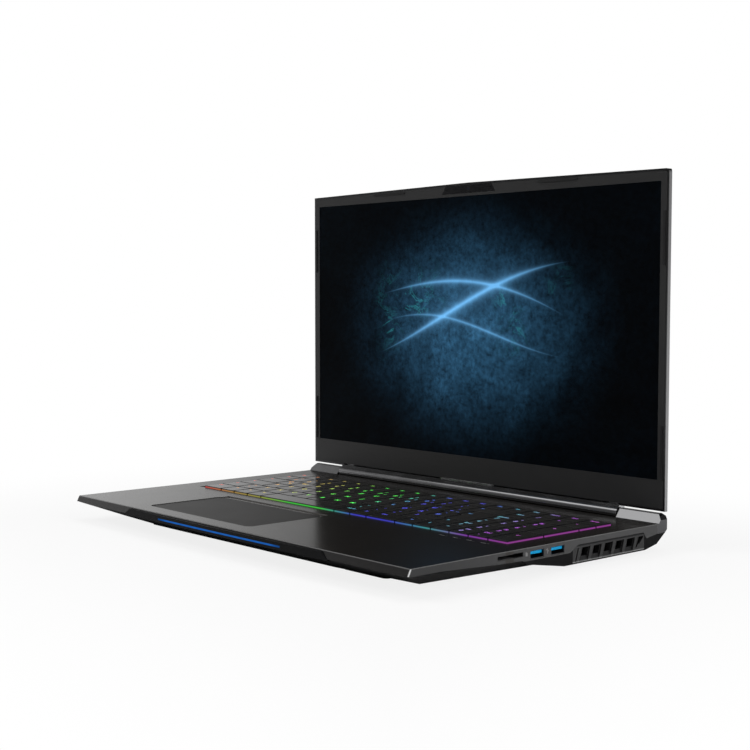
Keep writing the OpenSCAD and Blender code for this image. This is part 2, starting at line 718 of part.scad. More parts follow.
module heat_pipes() color("#c8814e") seat() translate([0, 0, pipe_z]) {
  both_sides() {
    flat_pipe([28, 158], 10, [28, 239], 146, 7);
    flat_pipe([40, 158], 10, [40, 231.2], 146, 7);
  }
  both_sides() translate([0, 0, 0]) {
    linear_extrude(pipe_t) translate([48, 143.2]) square([122, 6]);
    linear_extrude(pipe_t) translate([179.5, 158]) square([6, 62]);
    linear_extrude(pipe_t) translate([170, 158.7]) intersection() {
      difference() {
        circle(r = 15.5, $fn = round_fn);
        circle(r = 9.5, $fn = round_fn);
      }
      translate([0, -20]) square(20);
    }
    linear_extrude(pipe_t) translate([44, 143.2]) square([6, 16]);
  }
}

// ---- Ports ----

// A folded metal shell round a port, open at its outer end; x runs inwards from the mouth
module port_shell(w, h, depth, t = 0.35) difference() {
  cube([depth, w, h]);
  translate([-1, t, t]) cube([depth + 1 - t, w - 2 * t, h - 2 * t]);
}

// Puts a port at the right side, its mouth just inside the wall
module at_right(y, w, z) translate([half_w - 0.3, y - w / 2, z]) mirror([1, 0, 0]) children();
module at_left(y, w, z) translate([0.3 - half_w, y - w / 2, z]) children();

module usb_a_shells() color("silver") seat() {
  w = usb_w - 0.1;
  z = port_top - usb_h + 0.05;
  for (y = usb_y) at_right(y, w, z) port_shell(w, usb_h - 0.1, port_depth);
  at_left(left_usb_y, w, z) port_shell(w, usb_h - 0.1, port_depth);
}

// The coloured tongue that carries the contacts, near the top of each socket
module usb_a_tongues() color("#00a5dc") seat() {
  w = 11.1;
  z = port_top - 0.35 - 0.6 - 1.8;
  for (y = usb_y) at_right(y, w, z) translate([0.9, 0, 0]) cube([port_depth - 1.25, w, 1.8]);
  at_left(left_usb_y, w, z) translate([0.9, 0, 0]) cube([port_depth - 1.25, w, 1.8]);
}

module card_reader() color("#2c2c2e") seat() {
  w = sd_w - 0.1;
  at_right(sd_y, w, port_top - sd_h + 0.05) port_shell(w, sd_h - 0.1, 26);
  at_right(sd_y, w, port_top - sd_h - 0.95) translate([3, 0, 0]) cube([23, w, 1]);
}

// Eight-pin network socket, with its row of contacts
module network_socket() color("#2a2a2c") seat() {
  w = net_w - 0.1;
  at_left(net_y, w, port_top - net_h + 0.05) port_shell(w, net_h - 0.1, port_depth, 0.8);
  for (i = [0 : 7]) at_left(net_y, 8.1, port_top - net_h + 0.8) translate([6, i * 1.02 + 0.3, 0]) cube([9.3, 0.4, 0.5]);
}

module audio_sockets() color("#1a1a1c") seat() for (y = jack_y) difference() {
  union() {
    rod_x(0.3 - half_w, 4 - half_w, y, jack_z, jack_collar_r - 0.05);
    box([3.2 - half_w, y - 3.1, jack_z - 2.3], [14 - half_w, y + 3.1, jack_z + 2.3]);
  }
  rod_x(-half_w, 13 - half_w, y, jack_z, jack_r);
}

module usb_c_socket() color("silver") seat() translate([rear_ports[0], rear_y - 0.4, rear_port_z]) {
  rotate([90, 0, 0]) linear_extrude(8.5) difference() {
    translate([-4.5, -1.65]) rounded_square(9, 3.3, 1.6);
    translate([-4.2, -1.35]) rounded_square(8.4, 2.7, 1.3);
  }
  box([-3.3, -8, -0.35], [3.3, -0.8, 0.35]);
  box([-4.2, -8.5, -1.35], [4.2, -7.9, 1.35]);
}

module hdmi_socket() color("silver") seat() translate([rear_ports[1], rear_y - 0.4, rear_port_z]) {
  rotate([90, 0, 0]) linear_extrude(11) difference() {
    polygon([[-7.4, 2.5], [-7.4, -0.4], [-5.6, -2.5], [5.6, -2.5], [7.4, -0.4], [7.4, 2.5]]);
    polygon([[-7, 2.1], [-7, -0.2], [-5.4, -2.1], [5.4, -2.1], [7, -0.2], [7, 2.1]]);
  }
  box([-6, -10.6, -0.3], [6, -1.2, 0.5]);
  box([-7, -11, -0.4], [7, -10.4, 2.1]);
}

// Round inlet for the power plug: barrel 5.5 mm outside, pin in the middle
module power_inlet() color("#18181a") seat() {
  difference() {
    rod_y(rear_y - 12, rear_y - 0.4, rear_ports[2], rear_port_z, 2.72);
    rod_y(rear_y - 10.5, rear_y, rear_ports[2], rear_port_z, 2.3);
  }
  rod_y(rear_y - 11, rear_y - 1.6, rear_ports[2], rear_port_z, 0.8);
}

// ---- Lid ----

// Front view of the lid, drawn in by t
function lid_outline(t) = [
  [-half_w + t, lid_foot + t], [half_w - t, lid_foot + t], [half_w - t, lid_top - t],
  [0, lid_top + lid_peak - t], [-half_w + t, lid_top - t]];

// The same with its top corners rounded
module lid_face(t, r) {
  difference() {
    polygon(lid_outline(t));
    for (s = [-1, 1]) translate([s * (half_w - t), lid_top - t]) difference() {
      square(2 * r, center = true);
      translate([-s * r, -r]) circle(r = r, $fn = round_fn);
      translate([-s * r - r, -2 * r]) square([2 * r, r]);
      translate([s > 0 ? -2 * r : 0, -2 * r]) square([r, 3 * r]);
    }
  }
}

module lid_cover() color("#4a4a4d") seat() difference() {
  intersection() {
    along_y(bezel_y + 0.15, lid_back) lid_face(0, 3);
    // bevelled rear edges
    linear_extrude(300) polygon([
      [-half_w, 0], [half_w, 0], [half_w, bezel_y + 3.2], [half_w - 2.3, lid_back],
      [2.3 - half_w, lid_back], [-half_w, bezel_y + 3.2]]);
    half_space([0, bezel_y + 3.2, lid_top + lid_peak], [0, -1, -1]);
  }
  along_y(0, lid_back - skin) polygon(lid_outline(rim_w));
  box([-barrel_x + 1.5, 0, 0], [barrel_x - 1.5, lid_back - skin, 20]);
  box([-barrel_x - 0.4, 0, 0], [barrel_x + 0.4, 300, barrel_top + 0.03]);
}

module screen_bezel() color("#2c2c2e") seat() difference() {
  along_y(bezel_y, bezel_y + 1.8) lid_face(rim_w + 0.1, 1.6);
  box([-screen_w / 2, 0, screen_z], [screen_w / 2, 300, screen_z + screen_h]);
  box([-194, panel_y, 27.4], [194, 300, 247.2]);
  box([-121, panel_y + 0.2, 12.6], [121, 300, 28]);
  along_y(0, bezel_y + 0.5) polygon([[-30.2, 247.4], [30.2, 247.4], [26, 253.9], [-26, 253.9]]);
  rod_y(0, 300, 0, cam_z, 2);
  for (x = [-25, 25]) rod_y(0, 300, x, cam_z, 0.5);
}

module lcd_panel() color("#0a1220") seat() {
  box([-193.8, panel_y, 27.6], [193.8, panel_y + panel_t, 247]);
  box([-120, panel_y + 0.3, 13], [120, panel_y + 1.5, 27.6]);
}

module webcam_window() color("#0c0c0d") seat() difference() {
  along_y(bezel_y - 0.1, bezel_y + 0.4) polygon([[-30, 247.6], [30, 247.6], [25.9, 253.7], [-25.9, 253.7]]);
  rod_y(0, 300, 0, cam_z, 2);
  for (x = [-25, 25]) rod_y(0, 300, x, cam_z, 0.5);
}

module webcam_lens() color("#050508") seat() {
  rod_y(bezel_y + 0.2, bezel_y + 2.4, 0, cam_z, 1.9);
  box([-5, bezel_y + 2.4, cam_z - 2.9], [5, bezel_y + 3.6, cam_z + 2.9]);
}

// Rubber strips that the closed lid rests on
module bumper(w, h) along_y(bezel_y - 0.9, bezel_y) {
  square([w - h, h], center = true);
  for (x = [h / 2 - w / 2, w / 2 - h / 2]) translate([x, 0]) circle(r = h / 2, $fn = 24);
}

module lid_bumpers() color("#0e0e0f") seat() both_sides() {
  translate([95.2, 0, 251.6]) bumper(39, 1.4);
  for (z = [204.5, 50.2]) translate([194.6, 0, z]) rotate([0, 90, 0]) bumper(39, 1.4);
}

// The web that joins the barrel to the bezel leans along a tangent of the tube, drawn in by t
function web_top(t) = [bezel_y - hinge_y + t, barrel_top - hinge_z];
function web_reach(t) = barrel_r - t - 0.06;
function web_angle(t) = let (top = web_top(t)) atan2(top[1], top[0]) + acos(web_reach(t) / norm(top));
function web_foot(t) = web_reach(t) * [cos(web_angle(t)), sin(web_angle(t))];

module barrel_body(t, up, end) {
  top = web_top(t);
  back = lid_back - hinge_y - t;
  along_x(-end, end) circle(r = barrel_r - t, $fn = round_fn);
  along_x(-end, end)
    polygon([[0, 0], web_foot(t), top, [top[0], top[1] + up], [back, top[1] + up], [back, 0]]);
}

// A ribbed pad in the middle of the lid's foot
pad_rib = [30, 0.25, 0.5];  // half length, height and pitch of its ribs

module foot_pad() {
  box([-pad_rib[0], bezel_y - 0.3, barrel_top - 0.4], [pad_rib[0], bezel_y - 0.05, barrel_top + 1.3]);
  for (i = [0 : 2]) box(
    [0.8 * i - pad_rib[0], bezel_y - 0.55, barrel_top - 0.15 + i * pad_rib[2]],
    [pad_rib[0] - 0.8 * i, bezel_y - 0.2, barrel_top - 0.15 + i * pad_rib[2] + pad_rib[1]]);
}

module hinge_barrel() color("#6a6a6d") seat() {
  translate([0, hinge_y, hinge_z]) difference() {
    barrel_body(0, 0, barrel_x);
    barrel_body(skin, 1, barrel_x - 1.5);
    rod_x(-barrel_x - 1, barrel_x + 1, 0, 0, pin_r + 0.6);
  }
  foot_pad();
}

module hinge_arms() color("silver") seat() both_sides() {
  rod_x(145.5, bracket_x[1] + 0.5, hinge_y, hinge_z, pin_r);
  rod_x(145.5, 155.5, hinge_y, hinge_z, 3.4);
  difference() {
    box([145.5, panel_y + panel_t + 0.3, hinge_z], [155.5, lid_back - skin - 0.3, 62]);
    for (z = [40, 52]) rod_y(0, 300, 150.5, z, 1.3);
  }
}

bottom_cover();
top_case();
hinge_cap_left();
hinge_cap_right();
vent_louvres_left();
vent_louvres_right();
rear_grille();
light_bar();
keyboard_plate();
light_guide();
key_mechanisms();
mainboard();
battery();
fan_housings();
heat_pipes();
fin_stacks();
heat_spreader();
memory_modules();
ssd_modules();
wireless_card();
speakers();
usb_a_shells();
usb_a_tongues();
card_reader();
network_socket();
audio_sockets();
usb_c_socket();
hdmi_socket();
power_inlet();
rubber_feet();
bottom_screws();
hinge_brackets();
touchpad();
power_button();
fan_rotor_left();
fan_rotor_right();
lid_cover();
screen_bezel();
lcd_panel();
webcam_window();
webcam_lens();
lid_bumpers();
hinge_barrel();
hinge_arms();
escape_key();
function_keys();
number_keys();
backspace_key();
upper_letter_keys();
home_letter_keys();
enter_key();
lower_letter_keys();
left_shift_key();
right_shift_key();
modifier_keys();
space_bar();
arrow_keys();
numpad_keys();
numpad_plus_key();
numpad_enter_key();
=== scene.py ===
"""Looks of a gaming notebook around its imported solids. Row frame, metres."""
import json
import math

import bpy
from mathutils import Matrix, Vector


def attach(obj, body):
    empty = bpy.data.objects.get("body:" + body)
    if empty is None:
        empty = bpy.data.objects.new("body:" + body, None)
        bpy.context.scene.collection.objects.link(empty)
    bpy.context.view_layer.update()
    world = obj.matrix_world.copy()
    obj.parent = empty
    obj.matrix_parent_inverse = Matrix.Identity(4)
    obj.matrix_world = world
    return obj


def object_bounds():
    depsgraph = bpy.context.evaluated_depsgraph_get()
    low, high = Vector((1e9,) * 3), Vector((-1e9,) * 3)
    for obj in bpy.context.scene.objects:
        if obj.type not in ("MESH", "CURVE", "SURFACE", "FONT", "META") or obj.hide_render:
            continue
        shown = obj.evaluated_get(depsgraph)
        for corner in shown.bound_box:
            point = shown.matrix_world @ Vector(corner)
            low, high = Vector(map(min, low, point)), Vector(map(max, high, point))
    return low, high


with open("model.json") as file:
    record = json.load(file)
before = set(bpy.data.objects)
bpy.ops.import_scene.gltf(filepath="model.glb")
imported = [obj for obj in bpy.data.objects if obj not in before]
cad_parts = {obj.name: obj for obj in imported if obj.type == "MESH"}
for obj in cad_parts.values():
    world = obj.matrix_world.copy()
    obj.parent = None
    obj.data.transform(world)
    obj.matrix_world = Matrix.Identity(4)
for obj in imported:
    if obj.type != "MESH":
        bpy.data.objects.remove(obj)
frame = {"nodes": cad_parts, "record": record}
cad_low, cad_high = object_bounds()
nodes = frame["nodes"]
scene = bpy.context.scene

# Sizes are in millimetres: X from the middle, Y from the deck's front edge, Z from the deck's top
MM = 0.001
MID_Y = 126.95                  # the row's origin lies this far behind the deck's front edge
DECK_Z = 20.0                   # height of the deck over the table
LID_EDGE = 197.85               # half the lid's width
HALF_W = 197.9                  # half the base's width
PANEL_HALF = (190.95, 107.4)    # half of the screen's picture, along X and Z
PANEL_MID_Z = 137.7
WEBCAM_Z = 250.9
BOARD_TOP = -8.3                # top of the mainboard's bare plate
LED_PITCH = 12.5                # between the lamps behind the front light bar
KEY_U, ROW_U, FN_ROW_U = 18.4, 18.6, 17.3       # a key's width, a row's depth, the last row's depth
KEYS_X, KEYS_Y, KEY_TOP = -170.6, 105.7, 1.4    # left and front edge of the keys, and their height
KEYS_RIGHT = 179.0              # right edge of the last column
RIM = (0.7, 1.1)                # the lit rim ends between these distances from the keys' outer edge
# Small signs on the right side: place along Y, height over the deck, width and height
PORT_SIGNS = [(103.6, -4.4, 2.0, 2.2), (103.2, -3.1, 1.2, 0.6), (124.1, -4.4, 0.5, 3.6),
              (123.3, -3.6, 0.7, 0.8), (124.9, -4.4, 0.7, 0.8)]


def y_at(y):
    return (y - MID_Y) * MM


def z_at(z):
    return (z + DECK_Z) * MM


def at(x, y, z):
    """A point given in millimetres as above, in the row frame."""
    return Vector((x * MM, y_at(y), z_at(z)))


# ---------------------------------------------------------------- node trees

class Tree:
    """A short way to write a material's nodes. Arguments are numbers, tuples or sockets."""

    def __init__(self, name):
        self.material = bpy.data.materials.new(name)
        self.material.use_nodes = True
        self.nodes = self.material.node_tree.nodes
        self.links = self.material.node_tree.links
        self.nodes.clear()
        self.out = self.nodes.new("ShaderNodeOutputMaterial")
        self._place = None

    def put(self, socket, value):
        """Links a socket, or sets a plain value. None leaves the default."""
        if value is None:
            return
        if isinstance(value, bpy.types.NodeSocket):
            self.links.new(value, socket)
        elif isinstance(value, (tuple, list)) and socket.type == "RGBA" and len(value) == 3:
            socket.default_value = (*value, 1.0)
        else:
            socket.default_value = value

    def add(self, kind, values=None, **settings):
        n = self.nodes.new("ShaderNode" + kind)
        for key, value in settings.items():
            setattr(n, key, value)
        for key, value in (values or {}).items():
            self.put(n.inputs[key], value)
        return n

    def place(self):
        if self._place is None:
            self._place = self.add("TexCoord").outputs["Object"]
        return self._place

    def split(self, vector):
        return self.add("SeparateXYZ", {0: vector}).outputs

    def xyz(self):
        return self.split(self.place())

    def facing(self):
        """The face's own normal, as X, Y and Z."""
        return self.split(self.add("NewGeometry").outputs["True Normal"])

    def m(self, op, a, b=None, c=None):
        """A Math node."""
        n = self.add("Math", operation=op)
        for i, v in enumerate((a, b, c)):
            if v is not None:
                self.put(n.inputs[i], v)
        return n.outputs[0]

    def scaled(self, factors):
        """The place, with each axis scaled."""
        return self.add("Mapping", {"Vector": self.place(), "Scale": factors}).outputs[0]

    def noise(self, scale, detail=2.0, rough=0.5, vector=None, distortion=0.0):
        return self.add("TexNoise", {"Vector": vector or self.place(), "Scale": scale, "Detail": detail,
                                     "Roughness": rough, "Distortion": distortion}).outputs[0]

    def ramp(self, value, low, high, out_low=0.0, out_high=1.0, kind="LINEAR"):
        n = self.add("MapRange", {"Value": value, "From Min": low, "From Max": high,
                                  "To Min": out_low, "To Max": out_high}, interpolation_type=kind)
        return n.outputs[0]

    def band(self, value, start, full, last, end):
        """0 up to start, 1 from full to last, and 0 again from end on."""
        return self.m("MULTIPLY", self.ramp(value, start, full), self.ramp(value, end, last))

    def mix(self, factor, a, b, mode="MIX"):
        n = self.add("Mix", data_type="RGBA", blend_type=mode)
        self.put(n.inputs[0], factor)
        self.put(n.inputs[6], a)
        self.put(n.inputs[7], b)
        return n.outputs[2]

    def bump(self, height, distance, strength=1.0, normal=None):
        return self.add("Bump", {"Height": height, "Distance": distance, "Strength": strength,
                                 "Normal": normal}).outputs[0]

    def edge(self, radius):
        """0 on flat faces, up to 1 close to an edge, and the rounded normal there."""
        rounded = self.add("Bevel", {"Radius": radius}, samples=4).outputs[0]
        true = self.add("NewGeometry").outputs["True Normal"]
        near = self.add("VectorMath", {0: rounded, 1: true}, operation="DOT_PRODUCT").outputs["Value"]
        return self.ramp(near, 0.998, 0.85), rounded

    def surface(self, values):
        bsdf = self.add("BsdfPrincipled", values)
        self.links.new(bsdf.outputs[0], self.out.inputs[0])
        return self.material


def shade(colour, factor):
    return tuple(min(1.0, c * factor) for c in colour)


def moulded(name, colour, rough=0.45, spec=0.3, grain=2600, depth=0.00003, edge=0.00025, edge_highlight=1.8,
            mottling=0.12, uneven=0.04, detail=None):
    """Moulded or painted surface: fine grain, cloudy roughness, and a painted highlight that makes the edges
    a little lighter.
    detail takes the tree and its colour, and gives the colour with more on it."""
    t = Tree(name)
    fine = t.noise(grain, 3, 0.6)
    cloud = t.noise(38, 4, 0.55)
    tint = t.mix(t.ramp(cloud, 0.3, 0.7), shade(colour, 1 - mottling), shade(colour, 1 + mottling))
    normal = None
    if edge:
        mask, rounded = t.edge(edge)
        # Painted highlight: the colour is lighter by this factor close to edges.
        tint = t.mix(t.m("MULTIPLY", mask, 0.55), tint, shade(colour, edge_highlight))
        normal = rounded
    if detail:
        tint = detail(t, tint)
    roughness = t.m("ADD", t.ramp(cloud, 0.25, 0.75, rough - uneven, rough + uneven),
                    t.ramp(fine, 0.3, 0.7, -uneven / 2, uneven / 2))
    return t.surface({"Base Color": tint, "Roughness": roughness, "Specular IOR Level": spec,
                      "Normal": t.bump(fine, depth, 0.5, normal)})


# Deck colours for painted light and painted highlights; SIGN is print.
SIDE_PAINTED_LIGHT_FRONT, SIDE_PAINTED_LIGHT_BACK = (0.036, 0.036, 0.037), (0.058, 0.058, 0.059)
FRONT_PAINTED_LIGHT = (0.021, 0.020, 0.020)
BEVEL_HIGHLIGHT, CORNER_HIGHLIGHT, SIGN = (0.16, 0.16, 0.16), (0.75, 0.75, 0.75), (0.20, 0.20, 0.20)
SLOPE_PAINTED_LIGHT, STEP_HIGHLIGHT = (0.034, 0.031, 0.028), (0.16, 0.155, 0.15)


def deck_painted_light_and_signs(t, tint):
    """Painted light on the deck: its left and right sides painted lighter, more so towards the back, and its
    front faces a little lighter than the top; a painted highlight on the bevel round the deck and on a line
    at its front corners;
    the slope behind the touchpad painted lighter and a painted highlight on the step there; and signs printed
    beside the ports."""
    x, y, z = t.xyz()
    facing = t.facing()
    # Painted light: faces turned to the left or right are lighter, more so towards the back.
    side = t.mix(t.ramp(y, y_at(20), y_at(110)), SIDE_PAINTED_LIGHT_FRONT, SIDE_PAINTED_LIGHT_BACK)
    tint = t.mix(t.ramp(t.m("ABSOLUTE", facing[0]), 0.45, 0.6), tint, side)
    # Painted light: faces turned to the front are a little lighter than the top.
    tint = t.mix(t.ramp(facing[1], -0.45, -0.6), tint, FRONT_PAINTED_LIGHT)
    # Painted light on the slope behind the touchpad, and a painted highlight on the step there.
    behind_pad = t.band(y, y_at(83.0), y_at(83.8), y_at(90.5), y_at(91.5))
    tilted = t.m("MULTIPLY", behind_pad, t.ramp(facing[2], 0.9998, 0.9990))
    tint = t.mix(tilted, tint, SLOPE_PAINTED_LIGHT)
    tint = t.mix(t.m("MULTIPLY", behind_pad, t.ramp(facing[1], -0.5, -0.8)), tint, STEP_HIGHLIGHT)
    # Painted highlight on the bevel round the deck.
    sloped = t.band(facing[2], 0.3, 0.4, 0.85, 0.92)
    high = t.ramp(z, z_at(-0.5), z_at(-0.4))
    tint = t.mix(t.m("MULTIPLY", sloped, high), tint, BEVEL_HIGHLIGHT)
    # Painted highlight on a line at the deck's front corners.
    across = t.m("ABSOLUTE", t.m("MULTIPLY", facing[0], facing[1]))
    corner = t.m("MULTIPLY", t.ramp(across, 0.36, 0.40), t.ramp(y, y_at(6), y_at(5)))
    tint = t.mix(corner, tint, CORNER_HIGHLIGHT)
    signs = 0.0
    for where, height, width, tall in PORT_SIGNS:
        near_y = t.m("LESS_THAN", t.m("ABSOLUTE", t.m("SUBTRACT", y, y_at(where))), width / 2 * MM)
        near_z = t.m("LESS_THAN", t.m("ABSOLUTE", t.m("SUBTRACT", z, z_at(height))), tall / 2 * MM)
        signs = t.m("MAXIMUM", signs, t.m("MULTIPLY", near_y, near_z))
    at_right = t.m("GREATER_THAN", x, (HALF_W - 0.4) * MM)
    return t.mix(t.m("MULTIPLY", signs, at_right), tint, SIGN)


def metal(name, colour, rough=0.3, stretch=(40, 3000, 3000), depth=0.00001, edge=0.0, edge_highlight=1.3):
    """Bare metal with drawn lines along X, or along the axis whose factor is smallest."""
    t = Tree(name)
    lines = t.noise(1.0, 3, 0.6, t.scaled(stretch))
    cloud = t.noise(55, 3, 0.5)
    tint = t.mix(t.ramp(lines, 0.3, 0.7), shade(colour, 0.88), shade(colour, 1.08))
    normal = None
    if edge:
        mask, normal = t.edge(edge)
        # Painted highlight: the colour is lighter by this factor close to edges.
        tint = t.mix(t.m("MULTIPLY", mask, 0.6), tint, shade(colour, edge_highlight))
    roughness = t.m("ADD", t.ramp(lines, 0.2, 0.8, rough - 0.06, rough + 0.06),
                    t.ramp(cloud, 0.3, 0.7, -0.04, 0.04))
    return t.surface({"Base Color": tint, "Metallic": 1.0, "Roughness": roughness,
                      "Normal": t.bump(lines, depth, 0.4, normal)})


# ---------------------------------------------------------------- backlight colours

# Shares of red, green and blue in a plain colour of a three-colour lamp
RED, AMBER, YELLOW, GREEN = (1, 0, 0), (2, 1, 0), (1, 1, 0), (0, 1, 0)
CYAN, BLUE, VIOLET, MAGENTA = (0, 1, 1), (0, 0, 1), (1, 0, 2), (1, 0, 1)
# The key light's colours, evenly spaced from the left edge of the keys to the right
LAMPS = (RED, AMBER, YELLOW, GREEN, GREEN, BLUE, BLUE, CYAN, VIOLET, MAGENTA)
LAMP_POWER, LAMP_WHITE = 0.60, 0.06     # shared between the three colours, and added to each


def glow_colour(t):
    """The key light's colour at each place along X."""
    n = t.add("ValToRGB", {0: t.ramp(t.xyz()[0], KEYS_X * MM, KEYS_RIGHT * MM)})
    stops = n.color_ramp.elements
    for i, lamp in enumerate(LAMPS):
        spot = i / (len(LAMPS) - 1)
        stop = stops[i] if i < len(stops) else stops.new(spot)
        stop.position = spot
        stop.color = (*(LAMP_WHITE + LAMP_POWER * part / sum(lamp) for part in lamp), 1.0)
    return n.outputs[0]


KEY_BASE = (0.023, 0.022, 0.021)
KEY_BORDER_SHADE, KEY_FRONT_HIGHLIGHT, KEY_SIDE_SHADE = (0.0015, 0.0015, 0.002), (0.12, 0.12, 0.12), (0.0035, 0.0035, 0.004)
BORDER_WIDTH = 1.4      # the Bevel node's radius for the painted shade along a key's border
LEGEND_GLOW, GUIDE_GLOW = (1.5, 1.9), (1.2, 1.7)        # lowest and highest strength of the light
# Strength of the painted glow on the caps' lower sides, at the outer rim and elsewhere.
RIM_GLOW, INNER_GLOW = 0.7, 0.01


def key_material():
    """Smooth dark caps with painted shade on their borders and sides, a painted highlight along their front
    edges, and a painted glow of the backlight on their lower sides along the keyboard's front and right
    edges.
    """
    t = Tree("key_plastic")
    fine = t.noise(2400, 2, 0.5)
    cloud = t.noise(60, 3, 0.5)
    rounded = t.edge(0.0003)[1]
    lean = t.split(t.edge(BORDER_WIDTH * MM)[1])
    tint = t.mix(t.ramp(cloud, 0.3, 0.7), shade(KEY_BASE, 0.85), shade(KEY_BASE, 1.15))
    # Painted shade along each key's left, right and back borders, standing in for the shade in the gaps.
    border = t.ramp(t.m("MAXIMUM", t.m("ABSOLUTE", lean[0]), lean[1]), 0.06, 0.14)
    # Painted highlight along each key's front edge.
    tint = t.mix(t.ramp(lean[1], -0.10, -0.30), tint, KEY_FRONT_HIGHLIGHT)
    tint = t.mix(border, tint, KEY_BORDER_SHADE)
    # Painted shade on the keys' sides.
    tint = t.mix(t.ramp(t.facing()[2], 0.5, 0.9), KEY_SIDE_SHADE, tint)
    x, y, z = t.xyz()
    # Painted glow: the lower sides of the caps give off the backlight's colour, strongly along the keyboard's
    # front and right rim, faintly elsewhere.
    low = t.ramp(z, z_at(1.05), z_at(0.2), kind="SMOOTHSTEP")
    front = t.ramp(y, y_at(KEYS_Y + RIM[1]), y_at(KEYS_Y + RIM[0]))
    right = t.ramp(x, (KEYS_RIGHT - RIM[1]) * MM, (KEYS_RIGHT - RIM[0]) * MM)
    rim = t.ramp(t.m("MAXIMUM", front, right), 0, 1, INNER_GLOW, RIM_GLOW)
    smooth = t.ramp(cloud, 0.25, 0.75, 0.13, 0.17)
    return t.surface({"Base Color": tint, "Roughness": t.m("MULTIPLY_ADD", border, 0.75, smooth),
                      "Specular IOR Level": 0.45, "Normal": t.bump(fine, 0.00001, 0.3, rounded),
                      "Emission Color": glow_colour(t), "Emission Strength": t.m("MULTIPLY", low, rim)})


def legend_material():
    t = Tree("key_legends")
    speck = t.noise(1500, 2)
    return t.surface({"Base Color": (0.05, 0.05, 0.05), "Roughness": 0.5, "Emission Color": glow_colour(t),
                      "Emission Strength": t.ramp(speck, 0.3, 0.7, *LEGEND_GLOW)})


def guide_material():
    """The lit sheet under the keys, dark in the corner at the left of them."""
    t = Tree("light_guide")
    speck = t.noise(700, 2)
    under_keys = t.ramp(t.xyz()[0], (KEYS_X - 0.6) * MM, (KEYS_X - 0.2) * MM)
    strength = t.m("MULTIPLY", under_keys, t.ramp(speck, 0.3, 0.7, *GUIDE_GLOW))
    return t.surface({"Base Color": t.mix(under_keys, (0.01, 0.01, 0.01), (0.5, 0.5, 0.5)),
                      "Roughness": 0.4, "Emission Color": glow_colour(t), "Emission Strength": strength})


def light_bar_material():
    """Even blue light with a faint wave at each lamp, weaker at both ends."""
    t = Tree("light_bar")
    x = t.xyz()[0]
    fade = t.ramp(t.m("ABSOLUTE", x), 60 * MM, 76 * MM, 1.0, 0.45, "SMOOTHSTEP")
    wave = t.m("COSINE", t.m("MULTIPLY", x, 2 * math.pi / (LED_PITCH * MM)))
    lamps = t.m("MULTIPLY_ADD", wave, 0.06, 0.94)
    return t.surface({"Base Color": (0.002, 0.008, 0.02), "Roughness": 0.4, "Specular IOR Level": 0.0,
                      "Emission Color": (0.012, 0.105, 0.42),
                      "Emission Strength": t.m("MULTIPLY", fade, lamps)})


SCREEN_EDGE, SCREEN_MIDDLE = (0.0005, 0.0012, 0.0020), (0.020, 0.076, 0.145)
RIBBON_BLUE, SMOKE_CYAN = (0.16, 0.47, 0.86), (0.05, 0.50, 0.55)
# Each ribbon of light: height, bend, wave, phase, tilt, width and power
RIBBONS = [(0.10, 0.26, 2.3, 0.4, 0.22, 0.020, 0.95), (0.02, 0.34, 2.0, 1.3, -0.30, 0.013, 0.75),
           (-0.08, 0.20, 3.1, 2.6, 0.10, 0.009, 0.5)]
WEAVE = 3600            # radians a metre


def stone(t, x, z):
    """Dark rock: broad patches, rough grain, a weave, and thin cracks that wander."""
    broad = t.noise(13, 7, 0.66, distortion=0.8)
    pits = t.noise(210, 6, 0.78)
    threads = t.m("MULTIPLY", t.m("SINE", t.m("MULTIPLY", x, WEAVE)), t.m("SINE", t.m("MULTIPLY", z, WEAVE)))
    weave = t.m("MULTIPLY_ADD", threads, 0.10, 1.0)
    crack = t.m("ABSOLUTE", t.m("SUBTRACT", t.noise(24, 8, 0.62, distortion=0.5), 0.5))
    vein = t.ramp(crack, 0.0, 0.012, 0.72, 1.0)
    grain = t.m("MULTIPLY", t.ramp(pits, 0.30, 0.70, 0.25, 1.8), t.m("MULTIPLY", vein, weave))
    return t.m("MULTIPLY", t.ramp(broad, 0.30, 0.70, 0.30, 1.6), grain)


def ribbons(t, u, v):
    """Brightness of the ribbons that cross the middle of the picture in long waves."""
    total = None
    for height, bend, wave, phase, tilt, width, power in RIBBONS:
        line = t.m("ADD", t.m("MULTIPLY", t.m("SINE", t.m("MULTIPLY_ADD", u, wave, phase)), bend),
                   t.m("MULTIPLY_ADD", u, tilt, height))
        away = t.m("ABSOLUTE", t.m("SUBTRACT", v, line))
        ends = t.ramp(t.m("ABSOLUTE", u), 0.62, 0.08, 0.0, 1.0, "SMOOTHSTEP")
        thin = t.m("MULTIPLY", ends, width)
        spread = t.m("ADD", t.m("MULTIPLY", away, away), t.m("MULTIPLY_ADD", thin, thin, 0.000002))
        core = t.m("DIVIDE", t.m("MULTIPLY", thin, thin), spread)
        glow = t.m("MULTIPLY", t.m("MULTIPLY", core, ends), power)
        total = glow if total is None else t.m("ADD", total, glow)
    return t.m("MINIMUM", total, 1.0)


def smoke(t, u, v):
    """Brightness of the curls of smoke at both sides of the ribbons."""
    curl = t.m("ABSOLUTE", t.m("SUBTRACT", t.noise(30, 8, 0.7, distortion=1.6), 0.5))
    wisp = t.m("MULTIPLY", t.m("POWER", t.ramp(curl, 0.05, 0.0), 2.2),
               t.ramp(t.noise(60, 4), 0.40, 0.62, 0.15, 1.0))
    beside = t.m("ABSOLUTE", t.m("SUBTRACT", t.m("ABSOLUTE", u), 0.36))
    level = t.m("ABSOLUTE", t.m("SUBTRACT", v, 0.12))
    side = t.m("MULTIPLY", t.ramp(beside, 0.27, 0.0, kind="SMOOTHSTEP"),
               t.ramp(level, 0.5, 0.0, kind="SMOOTHSTEP"))
    return t.m("MULTIPLY", wisp, t.m("MULTIPLY", side, t.ramp(t.noise(14, 3), 0.46, 0.66)))


